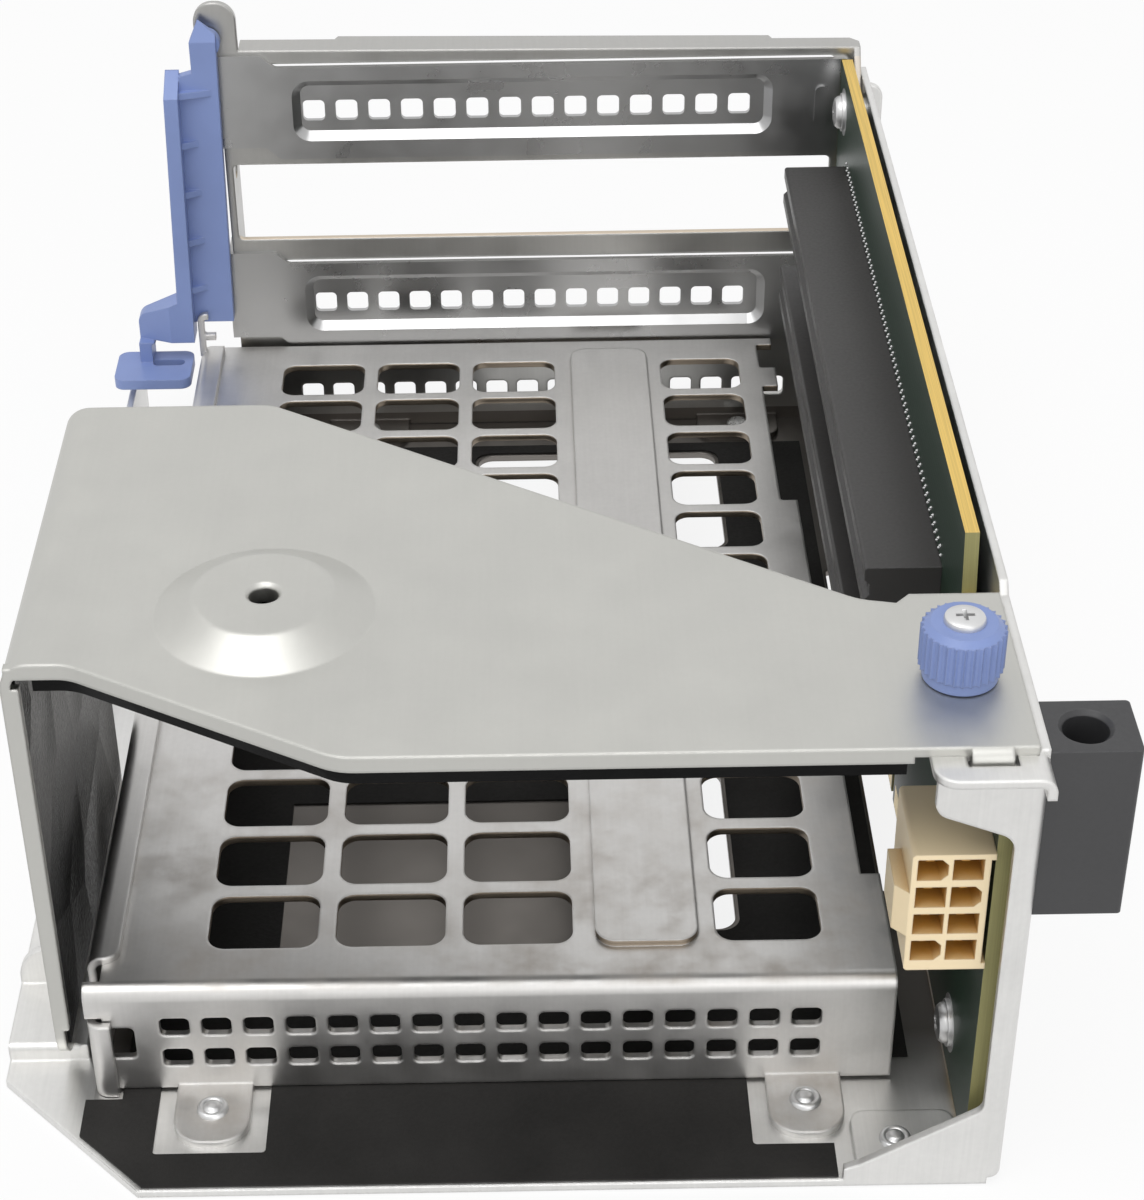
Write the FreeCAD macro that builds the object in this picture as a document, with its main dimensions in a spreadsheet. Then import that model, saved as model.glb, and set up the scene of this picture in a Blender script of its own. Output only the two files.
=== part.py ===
"""Riser card cage for a server: a folded sheet cage that holds a riser board and two expansion cards.

The pieces are modelled with x to the right, y to the back and z up. The corner where the outside of the
right wall, the outside of the front flange and the underside meet is x = 0, y = 0, z = 0. Every piece is
then placed so that the middle of the floor is the origin.
"""
import FreeCAD, Part
import math
import os
from types import SimpleNamespace
from FreeCAD import Vector

DIMENSIONS = {
    # overall
    "cage_width": 141.7, "cage_depth": 206.0, "gauge": 1.2, "bend": 0.9, "seam": 0.15,
    # chassis: floor, ledge, wall and flanges
    "floor_corner_x_in": 21.5, "floor_corner_y": 21.8, "ledge_width": 11.7, "ledge_front": 26.0,
    "ledge_rise": 2.8, "rail_front": 112.0, "rail_top": 17.0, "rail_round": 6.0, "stop_back": 39.5,
    "stop_width": 8.2, "stop_rise": 6.8, "wall_top": 75.0, "flange_reach": 22.0, "arm_reach": 14.0,
    "arm_low": 66.6, "window_top": 62.4, "window_low": 14.2, "window_right": 3.6, "gusset_reach": 20.0,
    "gusset_low": 4.0, "gusset_tip": 2.8, "flange_relief": 1.5, "lip_depth": 6.0,
    "top_flange_reach": 15.0, "top_flange_front": 4.0, "top_flange_back": 32.0, "top_flange_skirt": 3.2,
    "top_flange_round": 3.0, "hook_slot_margin": 0.6, "foot_reach": 12.0, "foot_round": 2.0,
    "port_left": 9.5, "port_right": 2.6, "port_front": 60.0, "port_back": 150.0, "service_left": 46.0,
    "service_right": 33.0, "service_front": 52.0, "service_back": 92.0, "outlet_left": 74.0,
    "outlet_front_in": 48.0, "outlet_back_in": 14.0, "opening_round": 3.0, "window_arm_round": 2.4,
    "window_top_round": 2.8, "window_low_round": 2.0, "wall_rise": 1.5, "wall_rise_run": 2.5,
    "rear_flange_reach": 3.3, "rear_flange_top": 73.4, "rear_flange_low": 4.0, "rear_flange_round": 2.6,
    "outlet_right": 27.3, "port_round": 0.8,
    # top cover
    "cover_top": 76.4, "cover_gauge": 1.4, "cover_left_in": 8.3, "cover_right": 1.6, "cover_front": 1.0,
    "cover_back": 86.4, "cover_bend": 2.6, "front_corner_x_in": 53.2, "front_slant_x_in": 17.2,
    "leg_front": 21.4, "front_corner_round": 9.0, "front_slant_round": 6.0, "back_corner_round": 6.0,
    "back_slant_round": 8.0, "back_corner_x_in": 39.2, "back_slant_x": 20.5, "back_slant_y": 33.2,
    "tab_left": 13.7, "tab_back": 34.2, "step_x": 15.6, "step_y": 32.2, "leg_round": 6.0, "hem_drop": 1.0,
    "hem_right": 17.0, "boss_x_in": 42.3, "boss_y": 32.8, "boss_foot": 14.8, "boss_crown": 9.4,
    "boss_rise": 2.9, "collar_radius": 3.1, "boss_bore": 2.0, "hook_x": 7.5, "hook_width": 5.2,
    "hook_drop": 1.25, "leg_lip": 2.4, "leg_lip_low": 2.2, "bore_lead": 0.5, "crown_round": 1.5,
    # films
    "film": 0.4, "film_inset": 1.8, "film_hem": 3.9, "floor_film": 0.3, "floor_film_left_in": 12.2,
    "floor_film_back_in": 10.6, "film_margin": 0.6, "window_margin": 2.6,
    # vented shelf
    "shelf_top": 20.7, "shelf_left_in": 13.3, "shelf_right": 13.2, "shelf_front": 19.5,
    "shelf_back_gap": 0.8, "shelf_inner_right": 16.0, "shelf_step": 42.0, "flange_foot": 1.7,
    "hole_width": 15.8, "hole_depth": 11.3, "hole_round": 2.6, "hole_left": 103.5, "hole_pitch": 18.4,
    "side_hole_x": 30.6, "side_hole_width": 15.2, "row_pitch": 13.65, "front_row": 33.6,
    "back_row_in": 13.4, "rib_x": 48.2, "rib_width": 14.8, "rib_front": 27.2, "rib_back_in": 4.4,
    "rib_rise": 0.9, "rib_round": 3.0, "vent_first_in": 25.9, "vent_width": 4.3, "vent_height": 3.5,
    "vent_round": 0.9, "vent_row": 13.6, "vent_rise": 5.95, "port_hole_x_in": 17.7,
    "port_hole_width": 4.8, "port_hole_height": 6.0, "tab_width": 10.8, "tab_front": 7.9,
    "tab_round": 4.6, "tab_x_one_in": 30.9, "tab_x_two": 26.0, "rivet_y": 14.4, "notch_depth": 3.0,
    "notch_one_in": 11.5, "notch_one_back_in": 2.5, "notch_two_in": 59.0, "notch_two_back_in": 18.5,
    "vent_columns": 16, "vent_last": 25.8, "front_rows": 5,
    # shelf side wall
    "side_face_in": 13.5, "side_lap": 4.6, "side_front": 25.0, "side_back_gap": 2.3, "wrap_reach": 3.4,
    "wrap_top": 14.9, "wrap_gap": 0.2, "side_gap": 0.1, "lap_round": 2.6, "catch_low": 24.2,
    "catch_high": 29.9, "catch_reach": 3.3, "catch_bar": 1.2, "catch_inset": 1.8, "catch_round": 1.5,
    # rear slot frame and slot covers
    "slot_pitch": 20.32, "slot_row": 69.9, "slot_gauge": 1.0, "frame_left_in": 21.0,
    "opening_left_in": 22.4, "opening_right": 6.0, "opening_low": 63.7, "opening_high": 79.5,
    "frame_top": 82.2, "side_flange": 11.0, "top_lip": 4.0, "top_lip_mid": 5.4, "lip_mid_left_in": 42.7,
    "lip_mid_right": 17.4, "screw_hole": 1.7, "screw_hole_rise": 5.5, "screw_hole_back": 6.6,
    "side_flange_foot": 22.0, "ear_left_in": 17.3, "ear_right_in": 25.1, "ear_top": 91.6,
    "ear_round": 3.6, "ear_neck": 2.0, "ear_notch": 0.9, "panel_vents": 16,
    "panel_vent_pitch": 6.14, "panel_vent": 4.2, "panel_row": 9.0, "frame_foot": 8.0,
    "frame_rivet_one": 96.0, "frame_rivet_two": 22.0, "cover_half": 9.21, "cover_shift": 2.4,
    "cover_neck_in": 29.1, "cover_neck_run": 2.6, "cover_end": 2.9, "cover_tab_in": 19.8,
    "cover_tab_back": 11.6, "cover_tab_inset": 1.4, "cover_tab_slot": 2.0, "recess_left_in": 34.5,
    "recess_right": 17.4, "recess_low": 5.6, "recess_high": 6.5, "recess_depth": 1.5, "recess_round": 3.2,
    "slot_vents": 14, "slot_vent": 4.1, "bump_x": 8.2, "bump_width": 2.6,
    "bump_height": 8.0, "bump_rise": 0.6, "frame_drop": 1.2, "top_lip_taper": 0.9, "lip_step": 0.6,
    "lip_corner": 1.6, "opening_corner": 1.0, "side_flange_round": 3.0, "inner_flange_reach": 5.0,
    "inner_flange_low": 30.0, "inner_flange_top": 74.0, "frame_foot_round": 3.0, "cover_corner": 1.5,
    "neck_round": 1.2, "tab_round_back": 2.0, "recess_slope": 45.0, "slot_vent_left": 3.9,
    "slot_vent_right": 6.1,
    # card retainer
    "pin_x_in": 19.5, "pin_z": 84.6, "pin_radius": 1.5, "pin_play": 0.05, "pin_head": 2.5,
    "pin_head_rise": 1.1, "knuckle": 2.6, "plate_gauge": 2.0, "plate_gap": 0.5, "plate_right_in": 21.5,
    "plate_right_low_in": 20.4, "plate_low": 27.5, "web_top": 85.4, "strip_in_in": 14.1,
    "strip_in_low_in": 12.8, "strip_out_in": 11.5, "strip_out_low_in": 10.1, "strip_foot": 33.2,
    "strip_depth": 5.2, "toe_left_in": 1.9, "toe_top": 29.6, "toe_round": 2.6, "toe_slot": 4.2,
    "toe_wall": 2.4, "finger_right_in": 12.1, "finger_top": 20.4, "finger_gauge": 2.0,
    "finger_front_in": 15.0, "finger_round": 2.0, "finger_slot": 2.3, "finger_slot_front_in": 9.2,
    "gusset_first": 34.4, "gusset_pitch": 10.1, "gusset_gauge": 1.3, "gusset_run": 3.0,
    "press_gauge": 1.6, "press_gap": 0.4, "press_back": 9.6, "plate_left_in": 16.6,
    "plate_crown_in": 18.3, "plate_crown": 89.2, "plate_right_top": 86.6, "plate_slant": 2.0,
    "bore_skin": 0.8, "pin_end_gap": 0.1, "strip_top": 79.4, "strip_front_top": 75.7, "toe_bevel_in": 8.3,
    "toe_bevel": 3.0, "toe_slot_round": 0.8, "finger_overhang": 2.7, "finger_back_gap": 0.9,
    "finger_rim": 1.6, "long_gusset_run": 6.0, "gussets": 5,
    # riser board and sockets
    "board_gauge": 2.0, "board_gap": 1.7, "board_front": 4.0, "board_back_gap": 0.6, "board_top": 79.2,
    "board_low": 2.2, "board_side_gap": 0.4, "board_step": 43.0, "board_step_run": 1.5,
    "board_front_top": 70.2,
    "finger_low": 0.4, "key_width": 2.0, "key_y": 84.0, "finger_margin": 2.0, "key_depth": 8.0,
    "socket_front": 58.7, "socket_back_in": 16.0, "socket_reach": 11.1, "socket_top": 63.9,
    "socket_height": 7.5, "socket_slot": 1.8, "socket_depth": 8.6, "socket_wall": 1.8,
    "socket_key": 133.0, "socket_key_width": 1.6, "socket_lead": 0.8, "contact_pitch": 3.0,
    "contact_width": 0.7, "contact_gauge": 0.35, "power_pitch": 4.6, "power_left": 15.7,
    "power_front": 3.5, "power_depth": 14.2, "power_top": 57.0, "power_height": 19.8, "power_cell": 4.0,
    "power_cell_depth": 9.4, "power_cell_cut": 0.9, "power_first": 54.45, "power_column": 12.95,
    "nub_reach": 1.8, "nub_low": 43.2, "nub_height": 7.4, "nub_depth": 9.0, "power_pin": 0.55,
    "power_pin_reach": 7.0, "power_cell_height": 3.45, "power_side_gap": 0.6, "power_side_lip": 1.0,
    "power_side_depth": 8.0, "power_round": 0.6, "socket_round": 0.5,
    # thumbscrew and its nut
    "thumb_x": 9.5, "thumb_y": 16.0, "thumb_gap": 0.2, "thumb_radius": 5.5, "thumb_collar": 4.9,
    "thumb_collar_rise": 1.6, "thumb_rise": 8.2, "thumb_teeth": 30, "thumb_tooth": 0.4,
    "thumb_chamfer": 0.8, "screw_head": 2.7, "screw_head_rise": 1.0, "screw_shank": 2.0,
    "screw_low": 69.5, "screw_lead": 0.5, "screw_play": 0.08, "screw_clearance": 0.5,
    "nut_barrel": 3.2, "nut_flange": 4.2,
    "nut_flange_rise": 2.0, "nut_fit": 0.02,
    # guide block and fasteners
    "block_width": 11.8, "block_front": 2.5, "block_depth": 10.5, "block_low": 47.5, "block_height": 26.7,
    "block_bore": 3.0, "block_bore_x": 5.4, "block_bore_y": 5.2, "block_bore_lead": 0.6,
    "block_screw": 1.25, "block_screw_head": 2.3, "block_screw_head_rise": 1.2, "block_screw_reach": 1.8,
    "block_screw_inset": 6.0, "block_screw_play": 0.15, "rivet_radius": 1.4, "rivet_head": 2.3,
    "rivet_dome": 1.0, "rivet_fit": 0.02, "flange_rivet_x": 14.1, "flange_rivet_y": 6.5, "standoff": 2.6,
    "board_screw": 1.45, "board_screw_head": 3.5, "board_screw_dome": 2.0, "board_screw_play": 0.15,
    "screw_front": 22.0, "screw_back_in": 7.2, "screw_bottom": 9.6, "screw_front_top": 63.0,
    "screw_back_top": 72.0, "block_round": 0.6,
}

# levels and lines that several pieces share, worked out in the sheet from the driving dimensions
DERIVED = {
    "outer_bend": "=bend + gauge", "ledge_top": "=ledge_rise + gauge",
    "ledge_right": "=cage_width - ledge_width", "flange_low": "=wall_top - gauge",
    "cover_low": "=cover_top - cover_gauge", "board_right": "=gauge + board_gap",
    "board_face": "=board_right + board_gauge", "shelf_low": "=shelf_top - gauge",
    "wrap_front": "=shelf_front - wrap_gap - gauge", "sheet_low": "=gauge + seam",
    "lip_top": "=flange_low - seam", "film_right": "=hem_right + film_margin",
    "film_front": "=cover_front + cover_gauge + seam", "film_back": "=cover_back - film_inset",
    "mouth": "=board_face + socket_reach", "thumb_base": "=cover_top + thumb_gap",
    "teeth_low": "=thumb_base + thumb_collar_rise", "thumb_top": "=thumb_base + thumb_rise",
    "slot_face": "=cage_depth - gauge - slot_gauge", "shelf_back": "=slot_face - shelf_back_gap",
    "side_back": "=slot_face - side_back_gap", "board_back": "=slot_face - board_back_gap",
    "back_row": "=shelf_back - back_row_in", "rib_back": "=shelf_back - rib_back_in",
    "notch_one": "=shelf_back - notch_one_in", "notch_one_back": "=shelf_back - notch_one_back_in",
    "notch_two": "=shelf_back - notch_two_in", "notch_two_back": "=shelf_back - notch_two_back_in",
    "socket_back": "=cage_depth - socket_back_in", "outlet_front": "=cage_depth - outlet_front_in",
    "outlet_back": "=cage_depth - outlet_back_in", "finger_front": "=cage_depth - finger_front_in",
    "finger_slot_front": "=cage_depth - finger_slot_front_in",
    "floor_film_back": "=cage_depth - floor_film_back_in", "screw_back": "=board_back - screw_back_in",
    "floor_corner_x": "=cage_width - floor_corner_x_in", "cover_left": "=cage_width - cover_left_in",
    "front_corner_x": "=cage_width - front_corner_x_in",
    "front_slant_x": "=cage_width - front_slant_x_in", "back_corner_x": "=cage_width - back_corner_x_in",
    "boss_x": "=cage_width - boss_x_in", "floor_film_left": "=cage_width - floor_film_left_in",
    "shelf_left": "=cage_width - shelf_left_in", "port_hole_x": "=cage_width - port_hole_x_in",
    "tab_x_one": "=cage_width - tab_x_one_in", "side_face": "=cage_width - side_face_in",
    "frame_left": "=cage_width - frame_left_in", "opening_left": "=cage_width - opening_left_in",
    "lip_mid_left": "=cage_width - lip_mid_left_in", "ear_left": "=cage_width - ear_left_in",
    "ear_right": "=cage_width - ear_right_in", "cover_neck": "=cage_width - cover_neck_in",
    "cover_tab": "=cage_width - cover_tab_in", "recess_left": "=cage_width - recess_left_in",
    "pin_x": "=cage_width - pin_x_in", "plate_right": "=cage_width - plate_right_in",
    "plate_right_low": "=cage_width - plate_right_low_in", "strip_in": "=cage_width - strip_in_in",
    "strip_in_low": "=cage_width - strip_in_low_in", "strip_out": "=cage_width - strip_out_in",
    "strip_out_low": "=cage_width - strip_out_low_in", "toe_left": "=cage_width - toe_left_in",
    "finger_right": "=cage_width - finger_right_in", "vent_first": "=cage_width - vent_first_in",
    "finger_left": "=cage_width + finger_overhang", "plate_left": "=cage_width - plate_left_in",
    "plate_crown_x": "=cage_width - plate_crown_in", "toe_bevel_x": "=cage_width - toe_bevel_in",
    "vent_pitch": "=(vent_first - vent_last) / (vent_columns - 1)",
    "slot_vent_first": "=recess_left - slot_vent_left",
    "slot_vent_pitch": "=(slot_vent_first - recess_right - slot_vent_right) / (slot_vents - 1)",
    "frame_right_top": "=frame_top - frame_drop", "wall_rise_top": "=wall_top + wall_rise",
    "frame_face": "=slot_face + slot_gauge", "frame_back": "=frame_face + gauge",
    "plate_back": "=slot_face - plate_gap", "plate_front": "=plate_back - plate_gauge",
    "strip_front": "=plate_back - strip_depth", "shelf_edge": "=side_face - gauge - bend - side_gap",
}

doc = FreeCAD.newDocument("riser_cage")
sheet = doc.addObject("Spreadsheet::Sheet", "sizes")
for row, (name, content) in enumerate({**DIMENSIONS, **DERIVED}.items(), start=1):
    sheet.set(f"A{row}", str(content))
    sheet.setAlias(f"A{row}", name)
doc.recompute()
size = SimpleNamespace(**{name: float(sheet.get(name)) for name in (*DIMENSIONS, *DERIVED)})
sub_parts = []


def corner_arc(before, corner, after, radius):
    """Start, middle and end of the arc that rounds a corner between two straight edges."""
    back = (before - corner).normalize()
    ahead = (after - corner).normalize()
    half = back.getAngle(ahead) / 2
    middle = (back + ahead).normalize()
    run = radius / math.tan(half)
    crown = corner + middle * (radius / math.sin(half) - radius)
    return corner + back * run, crown, corner + ahead * run


def outline(*corners):
    """Closed outline through corners (u, v) or (u, v, radius), as sketch geometry."""
    points = [Vector(corner[0], corner[1], 0) for corner in corners]
    radii = [corner[2] if len(corner) > 2 else 0 for corner in corners]
    geometry = []
    ends = []
    for index, point in enumerate(points):
        if radii[index]:
            after = points[(index + 1) % len(points)]
            start, crown, end = corner_arc(points[index - 1], point, after, radii[index])
            geometry.append(Part.Arc(start, crown, end))
            ends.append((start, end))
        else:
            ends.append((point, point))
    for index, (_, end) in enumerate(ends):
        start = ends[(index + 1) % len(ends)][0]
        if end.distanceToPoint(start) > 1e-6:
            geometry.append(Part.LineSegment(end, start))
    return geometry


def rectangle(left, right, low, high, radius=0):
    """Rectangle with all four corners rounded alike."""
    return outline((left, low, radius), (right, low, radius), (right, high, radius), (left, high, radius))


def circle(u, v, radius):
    return [Part.Circle(Vector(u, v, 0), Vector(0, 0, 1), radius)]


def place(piece):
    """Moves a piece from the wall's corner to the middle of the floor, and keeps it for writing."""
    piece.setExpression("Placement.Base.x", "sizes.cage_width / 2")
    piece.setExpression("Placement.Base.y", "-sizes.cage_depth / 2")
    sub_parts.append(piece)


def new_body(label):
    body = doc.addObject("PartDesign::Body", label)
    body.Label = label
    place(body)
    return body


def draw(body, name, plane, level, outlines):
    """Sketch parallel to an origin plane of the body, at a level along that plane's own axis."""
    sketch = body.newObject("Sketcher::SketchObject", name + "_profile")
    sketch.AttachmentSupport = [(next(f for f in body.Origin.OriginFeatures if f.Role == plane), "")]
    sketch.MapMode = "FlatFace"
    sketch.setExpression("AttachmentOffset.Base.z", f"-({level})" if plane == "XZ_Plane" else level)
    for geometry in outlines:
        sketch.addGeometry(geometry, False)
    return sketch


def settle(body, before, grows):
    """Rebuilds and makes sure that the last feature really added or removed metal."""
    doc.recompute()
    change = body.Shape.Volume - before
    if change == 0 or (change > 0) != grows:
        raise RuntimeError(f"{body.Label}: {body.Tip.Name} changed the volume by {change:.3f}")


def grow(body, name, plane, level, length, *outlines, slope=None):
    """Pads outlines from a level along the plane's axis; a slope in degrees draws the sides in."""
    before = body.Shape.Volume if body.Tip else 0
    profile = draw(body, name, plane, level, outlines)
    pad = body.newObject("PartDesign::Pad", name)
    pad.Profile = profile
    pad.setExpression("Length", length)
    pad.Reversed = plane == "XZ_Plane"
    if slope:
        pad.setExpression("TaperAngle", f"-({slope})")
    settle(body, before, True)


def cut(body, name, plane, level, length, *outlines, slope=None):
    """Pockets outlines from a level along the plane's axis; a slope below zero draws the sides out."""
    before = body.Shape.Volume
    profile = draw(body, name, plane, level, outlines)
    pocket = body.newObject("PartDesign::Pocket", name)
    pocket.Profile = profile
    pocket.setExpression("Length", length)
    pocket.Reversed = plane != "XZ_Plane"
    if slope:
        pocket.setExpression("TaperAngle", f"-({slope})")
    settle(body, before, False)


def turn(body, name, x_level, y_level, *corners):
    """Revolves a closed profile of (radius, height) about an upright axis."""
    before = body.Shape.Volume if body.Tip else 0
    profile = draw(body, name, "XZ_Plane", y_level, [outline(*corners)])
    profile.setExpression("AttachmentOffset.Base.x", x_level)
    ring = body.newObject("PartDesign::Revolution", name)
    ring.Profile = profile
    ring.ReferenceAxis = (profile, ["V_Axis"])
    settle(body, before, True)


def turned(axis, origin, *corners):
    """Solid of revolution: corners are (radius, distance along the axis from the origin)."""
    side = Vector(0, 0, 1) if abs(axis.z) < 0.5 else Vector(1, 0, 0)
    points = [origin + side * radius + axis * run for radius, run in corners]
    face = Part.Face(Part.makePolygon(points + points[:1]))
    return face.revolve(origin, axis, 360)


def fastener_group(label, solids):
    """Separate like fasteners in one node."""
    group = doc.addObject("Part::Feature", label)
    group.Label = label
    group.Shape = Part.makeCompound(solids)
    place(group)


# places that several pieces share
rivet_spots = [(-size.tab_x_one, size.rivet_y), (-size.tab_x_two, size.rivet_y)]
flange_rivet = (-size.flange_rivet_x, size.flange_rivet_y)
block_screw_spots = [size.block_low + size.block_screw_inset,
                     size.block_low + size.block_height - size.block_screw_inset]
block_screw_y = size.block_front + size.block_depth / 2
board_screw_spots = [(size.screw_front, size.screw_bottom), (size.screw_front, size.screw_front_top),
                     (size.screw_back, size.screw_bottom), (size.screw_back, size.screw_back_top)]


def rounded_end(u, v, radius, du, dv):
    """Outline that takes a square corner at (u, v) off to a radius; du and dv point out of the sheet."""
    reach = 1.0
    return outline((u - du * radius, v + dv * reach), (u + du * reach, v + dv * reach),
                   (u + du * reach, v - dv * radius), (u, v - dv * radius), (u, v, radius),
                   (u - du * radius, v))


def make_chassis():
    body = new_body("chassis_frame")
    wide, deep, gauge = size.cage_width, size.cage_depth, size.gauge
    grow(body, "floor_and_wall", "XZ_Plane", "sizes.gauge + sizes.bend",
         "sizes.cage_depth - sizes.gauge - sizes.bend",
         outline((-size.floor_corner_x, 0), (0, 0, size.outer_bend), (0, size.wall_top),
                 (-gauge, size.wall_top), (-gauge, gauge, size.bend), (-size.floor_corner_x, gauge)))
    grow(body, "floor", "XY_Plane", "0", "sizes.gauge",
         outline((-size.outer_bend, 0), (-size.floor_corner_x, 0), (-wide, size.floor_corner_y),
                 (-wide, size.ledge_front), (-size.ledge_right - gauge, size.ledge_front),
                 (-size.ledge_right - gauge, deep), (-size.outer_bend, deep)))
    front = size.ledge_front
    grow(body, "ledge", "YZ_Plane", "-sizes.cage_width", "sizes.ledge_width",
         outline((front - size.outer_bend, 0), (front + gauge, 0, size.bend),
                 (front + gauge, size.ledge_rise), (deep, size.ledge_rise), (deep, size.ledge_top),
                 (front, size.ledge_top, size.bend), (front, gauge), (front - size.outer_bend, gauge)))
    grow(body, "ledge_web", "XZ_Plane", "sizes.ledge_front", "sizes.cage_depth - sizes.ledge_front",
         rectangle(-size.ledge_right - gauge, -size.ledge_right, 0, size.ledge_top))
    grow(body, "side_rail", "YZ_Plane", "-sizes.cage_width", "sizes.gauge",
         outline((size.rail_front, size.ledge_rise), (deep, size.ledge_rise), (deep, size.rail_top),
                 (size.rail_front, size.rail_top, size.rail_round)))
    grow(body, "stop_tab", "XZ_Plane", "sizes.stop_back", "sizes.gauge",
         outline((-wide, size.ledge_rise), (-wide + size.stop_width, size.ledge_rise),
                 (-wide + size.stop_width, size.ledge_top + size.stop_rise),
                 (-wide, size.ledge_top + size.stop_rise, size.stop_rise * 0.8)))
    grow(body, "front_flange", "XY_Plane", "sizes.gauge",
         "sizes.wall_top - 2 * sizes.gauge - sizes.seam",
         outline((-size.flange_reach, 0), (0, 0, size.outer_bend), (0, 2 * size.outer_bend),
                 (-gauge, 2 * size.outer_bend), (-gauge, gauge, size.bend), (-size.flange_reach, gauge)))
    cut(body, "flange_window", "XZ_Plane", "-sizes.gauge", "2 * sizes.gauge + sizes.bend",
        outline((-size.flange_reach - 1, size.wall_top), (-size.arm_reach, size.wall_top),
                (-size.arm_reach, size.arm_low, size.window_arm_round),
                (-size.window_right, size.window_top, size.window_top_round),
                (-size.window_right, size.window_low, size.window_low_round),
                (-size.gusset_reach, size.gusset_low), (-size.flange_reach - 1, size.gusset_tip)))
    grow(body, "flange_lip", "YZ_Plane", "-sizes.arm_reach",
         "sizes.arm_reach - 2 * sizes.gauge - sizes.flange_relief",
         outline((0, size.lip_top - size.lip_depth), (0, size.lip_top, size.outer_bend),
                 (size.lip_depth, size.lip_top), (size.lip_depth, size.lip_top - gauge),
                 (gauge, size.lip_top - gauge, size.bend), (gauge, size.lip_top - size.lip_depth)))
    cut(body, "corner_relief", "XZ_Plane", "-sizes.gauge", "2 * sizes.gauge",
        rectangle(-2 * gauge - size.flange_relief, -gauge, size.lip_top - size.flange_relief,
                  size.lip_top + gauge))
    cut(body, "lip_front", "XZ_Plane", "-sizes.gauge", "sizes.gauge + sizes.bend * 0.3",
        rectangle(-size.arm_reach - 1, -2 * gauge - size.flange_relief, size.lip_top - 0.05,
                  size.lip_top + gauge))
    return body


def finish_chassis(body):
    """Top flange with its slot and nut hole, the floor's openings, rivet holes and rounded corners."""
    gauge = size.gauge
    front = -size.top_flange_front
    grow(body, "top_bend", "XZ_Plane", "-sizes.top_flange_front",
         "sizes.top_flange_front + sizes.top_flange_back",
         outline((-gauge, size.wall_top - size.top_flange_skirt),
                 (0, size.wall_top - size.top_flange_skirt), (0, size.wall_top, size.outer_bend),
                 (-size.outer_bend - 1, size.wall_top), (-size.outer_bend - 1, size.flange_low),
                 (-gauge, size.flange_low, size.bend)))
    grow(body, "top_flange", "XY_Plane", "sizes.wall_top - sizes.gauge", "sizes.gauge",
         outline((-size.top_flange_reach, front, size.top_flange_round), (-size.outer_bend, front),
                 (-size.outer_bend, size.top_flange_back),
                 (-size.top_flange_reach, size.top_flange_back, size.foot_round)))
    hook_half = size.hook_width / 2 + size.hook_slot_margin
    cut(body, "hook_slot", "XY_Plane", "sizes.flange_low - sizes.seam / 2", "sizes.gauge + sizes.seam",
        rectangle(-size.hook_x - hook_half, -size.hook_x + hook_half,
                  size.cover_front - size.cover_gauge - size.hook_slot_margin,
                  size.cover_front + size.hook_slot_margin))
    cut(body, "nut_hole", "XY_Plane", "sizes.wall_top - 2 * sizes.gauge", "3 * sizes.gauge",
        circle(-size.thumb_x, size.thumb_y, size.nut_barrel + size.nut_fit))
    foot_right = -size.board_face - size.board_side_gap
    grow(body, "flange_foot", "XY_Plane", "sizes.gauge", "sizes.gauge",
         outline((-size.gusset_reach, 0), (foot_right, 0), (foot_right, size.foot_reach, size.foot_round),
                 (-size.gusset_reach, size.foot_reach, size.foot_round)))
    cut(body, "floor_openings", "XY_Plane", "-sizes.gauge", "3 * sizes.gauge",
        rectangle(-size.port_left, -size.port_right, size.port_front, size.port_back, size.port_round),
        rectangle(-size.service_left, -size.service_right, size.service_front, size.service_back,
                  size.opening_round),
        rectangle(-size.outlet_left, -size.outlet_right, size.outlet_front, size.outlet_back,
                  size.opening_round))
    cut(body, "rivet_holes", "XY_Plane", "-sizes.gauge", "4 * sizes.gauge",
        *[circle(x, y, size.rivet_radius + size.rivet_fit) for x, y in rivet_spots + [flange_rivet]],
        *[circle(-x, size.frame_face - size.frame_foot / 2, size.rivet_radius + size.rivet_fit)
          for x in (size.frame_rivet_one, size.frame_rivet_two)])
    cut(body, "block_screw_holes", "YZ_Plane", "-2 * sizes.gauge", "3 * sizes.gauge",
        *[circle(block_screw_y, z, size.block_screw + size.block_screw_play) for z in block_screw_spots])
    rise_front = size.top_flange_back + size.wall_rise_run
    grow(body, "wall_rise", "YZ_Plane", "-sizes.gauge", "sizes.gauge",
         outline((rise_front, size.flange_low), (size.cage_depth, size.flange_low),
                 (size.cage_depth, size.wall_rise_top),
                 (rise_front + size.wall_rise_run, size.wall_rise_top)))
    grow(body, "rear_flange", "XZ_Plane", "sizes.cage_depth - sizes.gauge", "sizes.gauge",
         outline((-gauge / 2, size.rear_flange_low),
                 (size.rear_flange_reach, size.rear_flange_low, size.rear_flange_round),
                 (size.rear_flange_reach, size.rear_flange_top, size.rear_flange_round),
                 (-gauge / 2, size.rear_flange_top)))


def skew(offset):
    """Sideways shift of the front edge's corners in a line that runs an offset behind that edge."""
    rise = size.leg_front - size.cover_front
    return offset * math.tan(math.atan2(rise, size.front_slant_x - size.front_corner_x) / 2)


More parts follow.
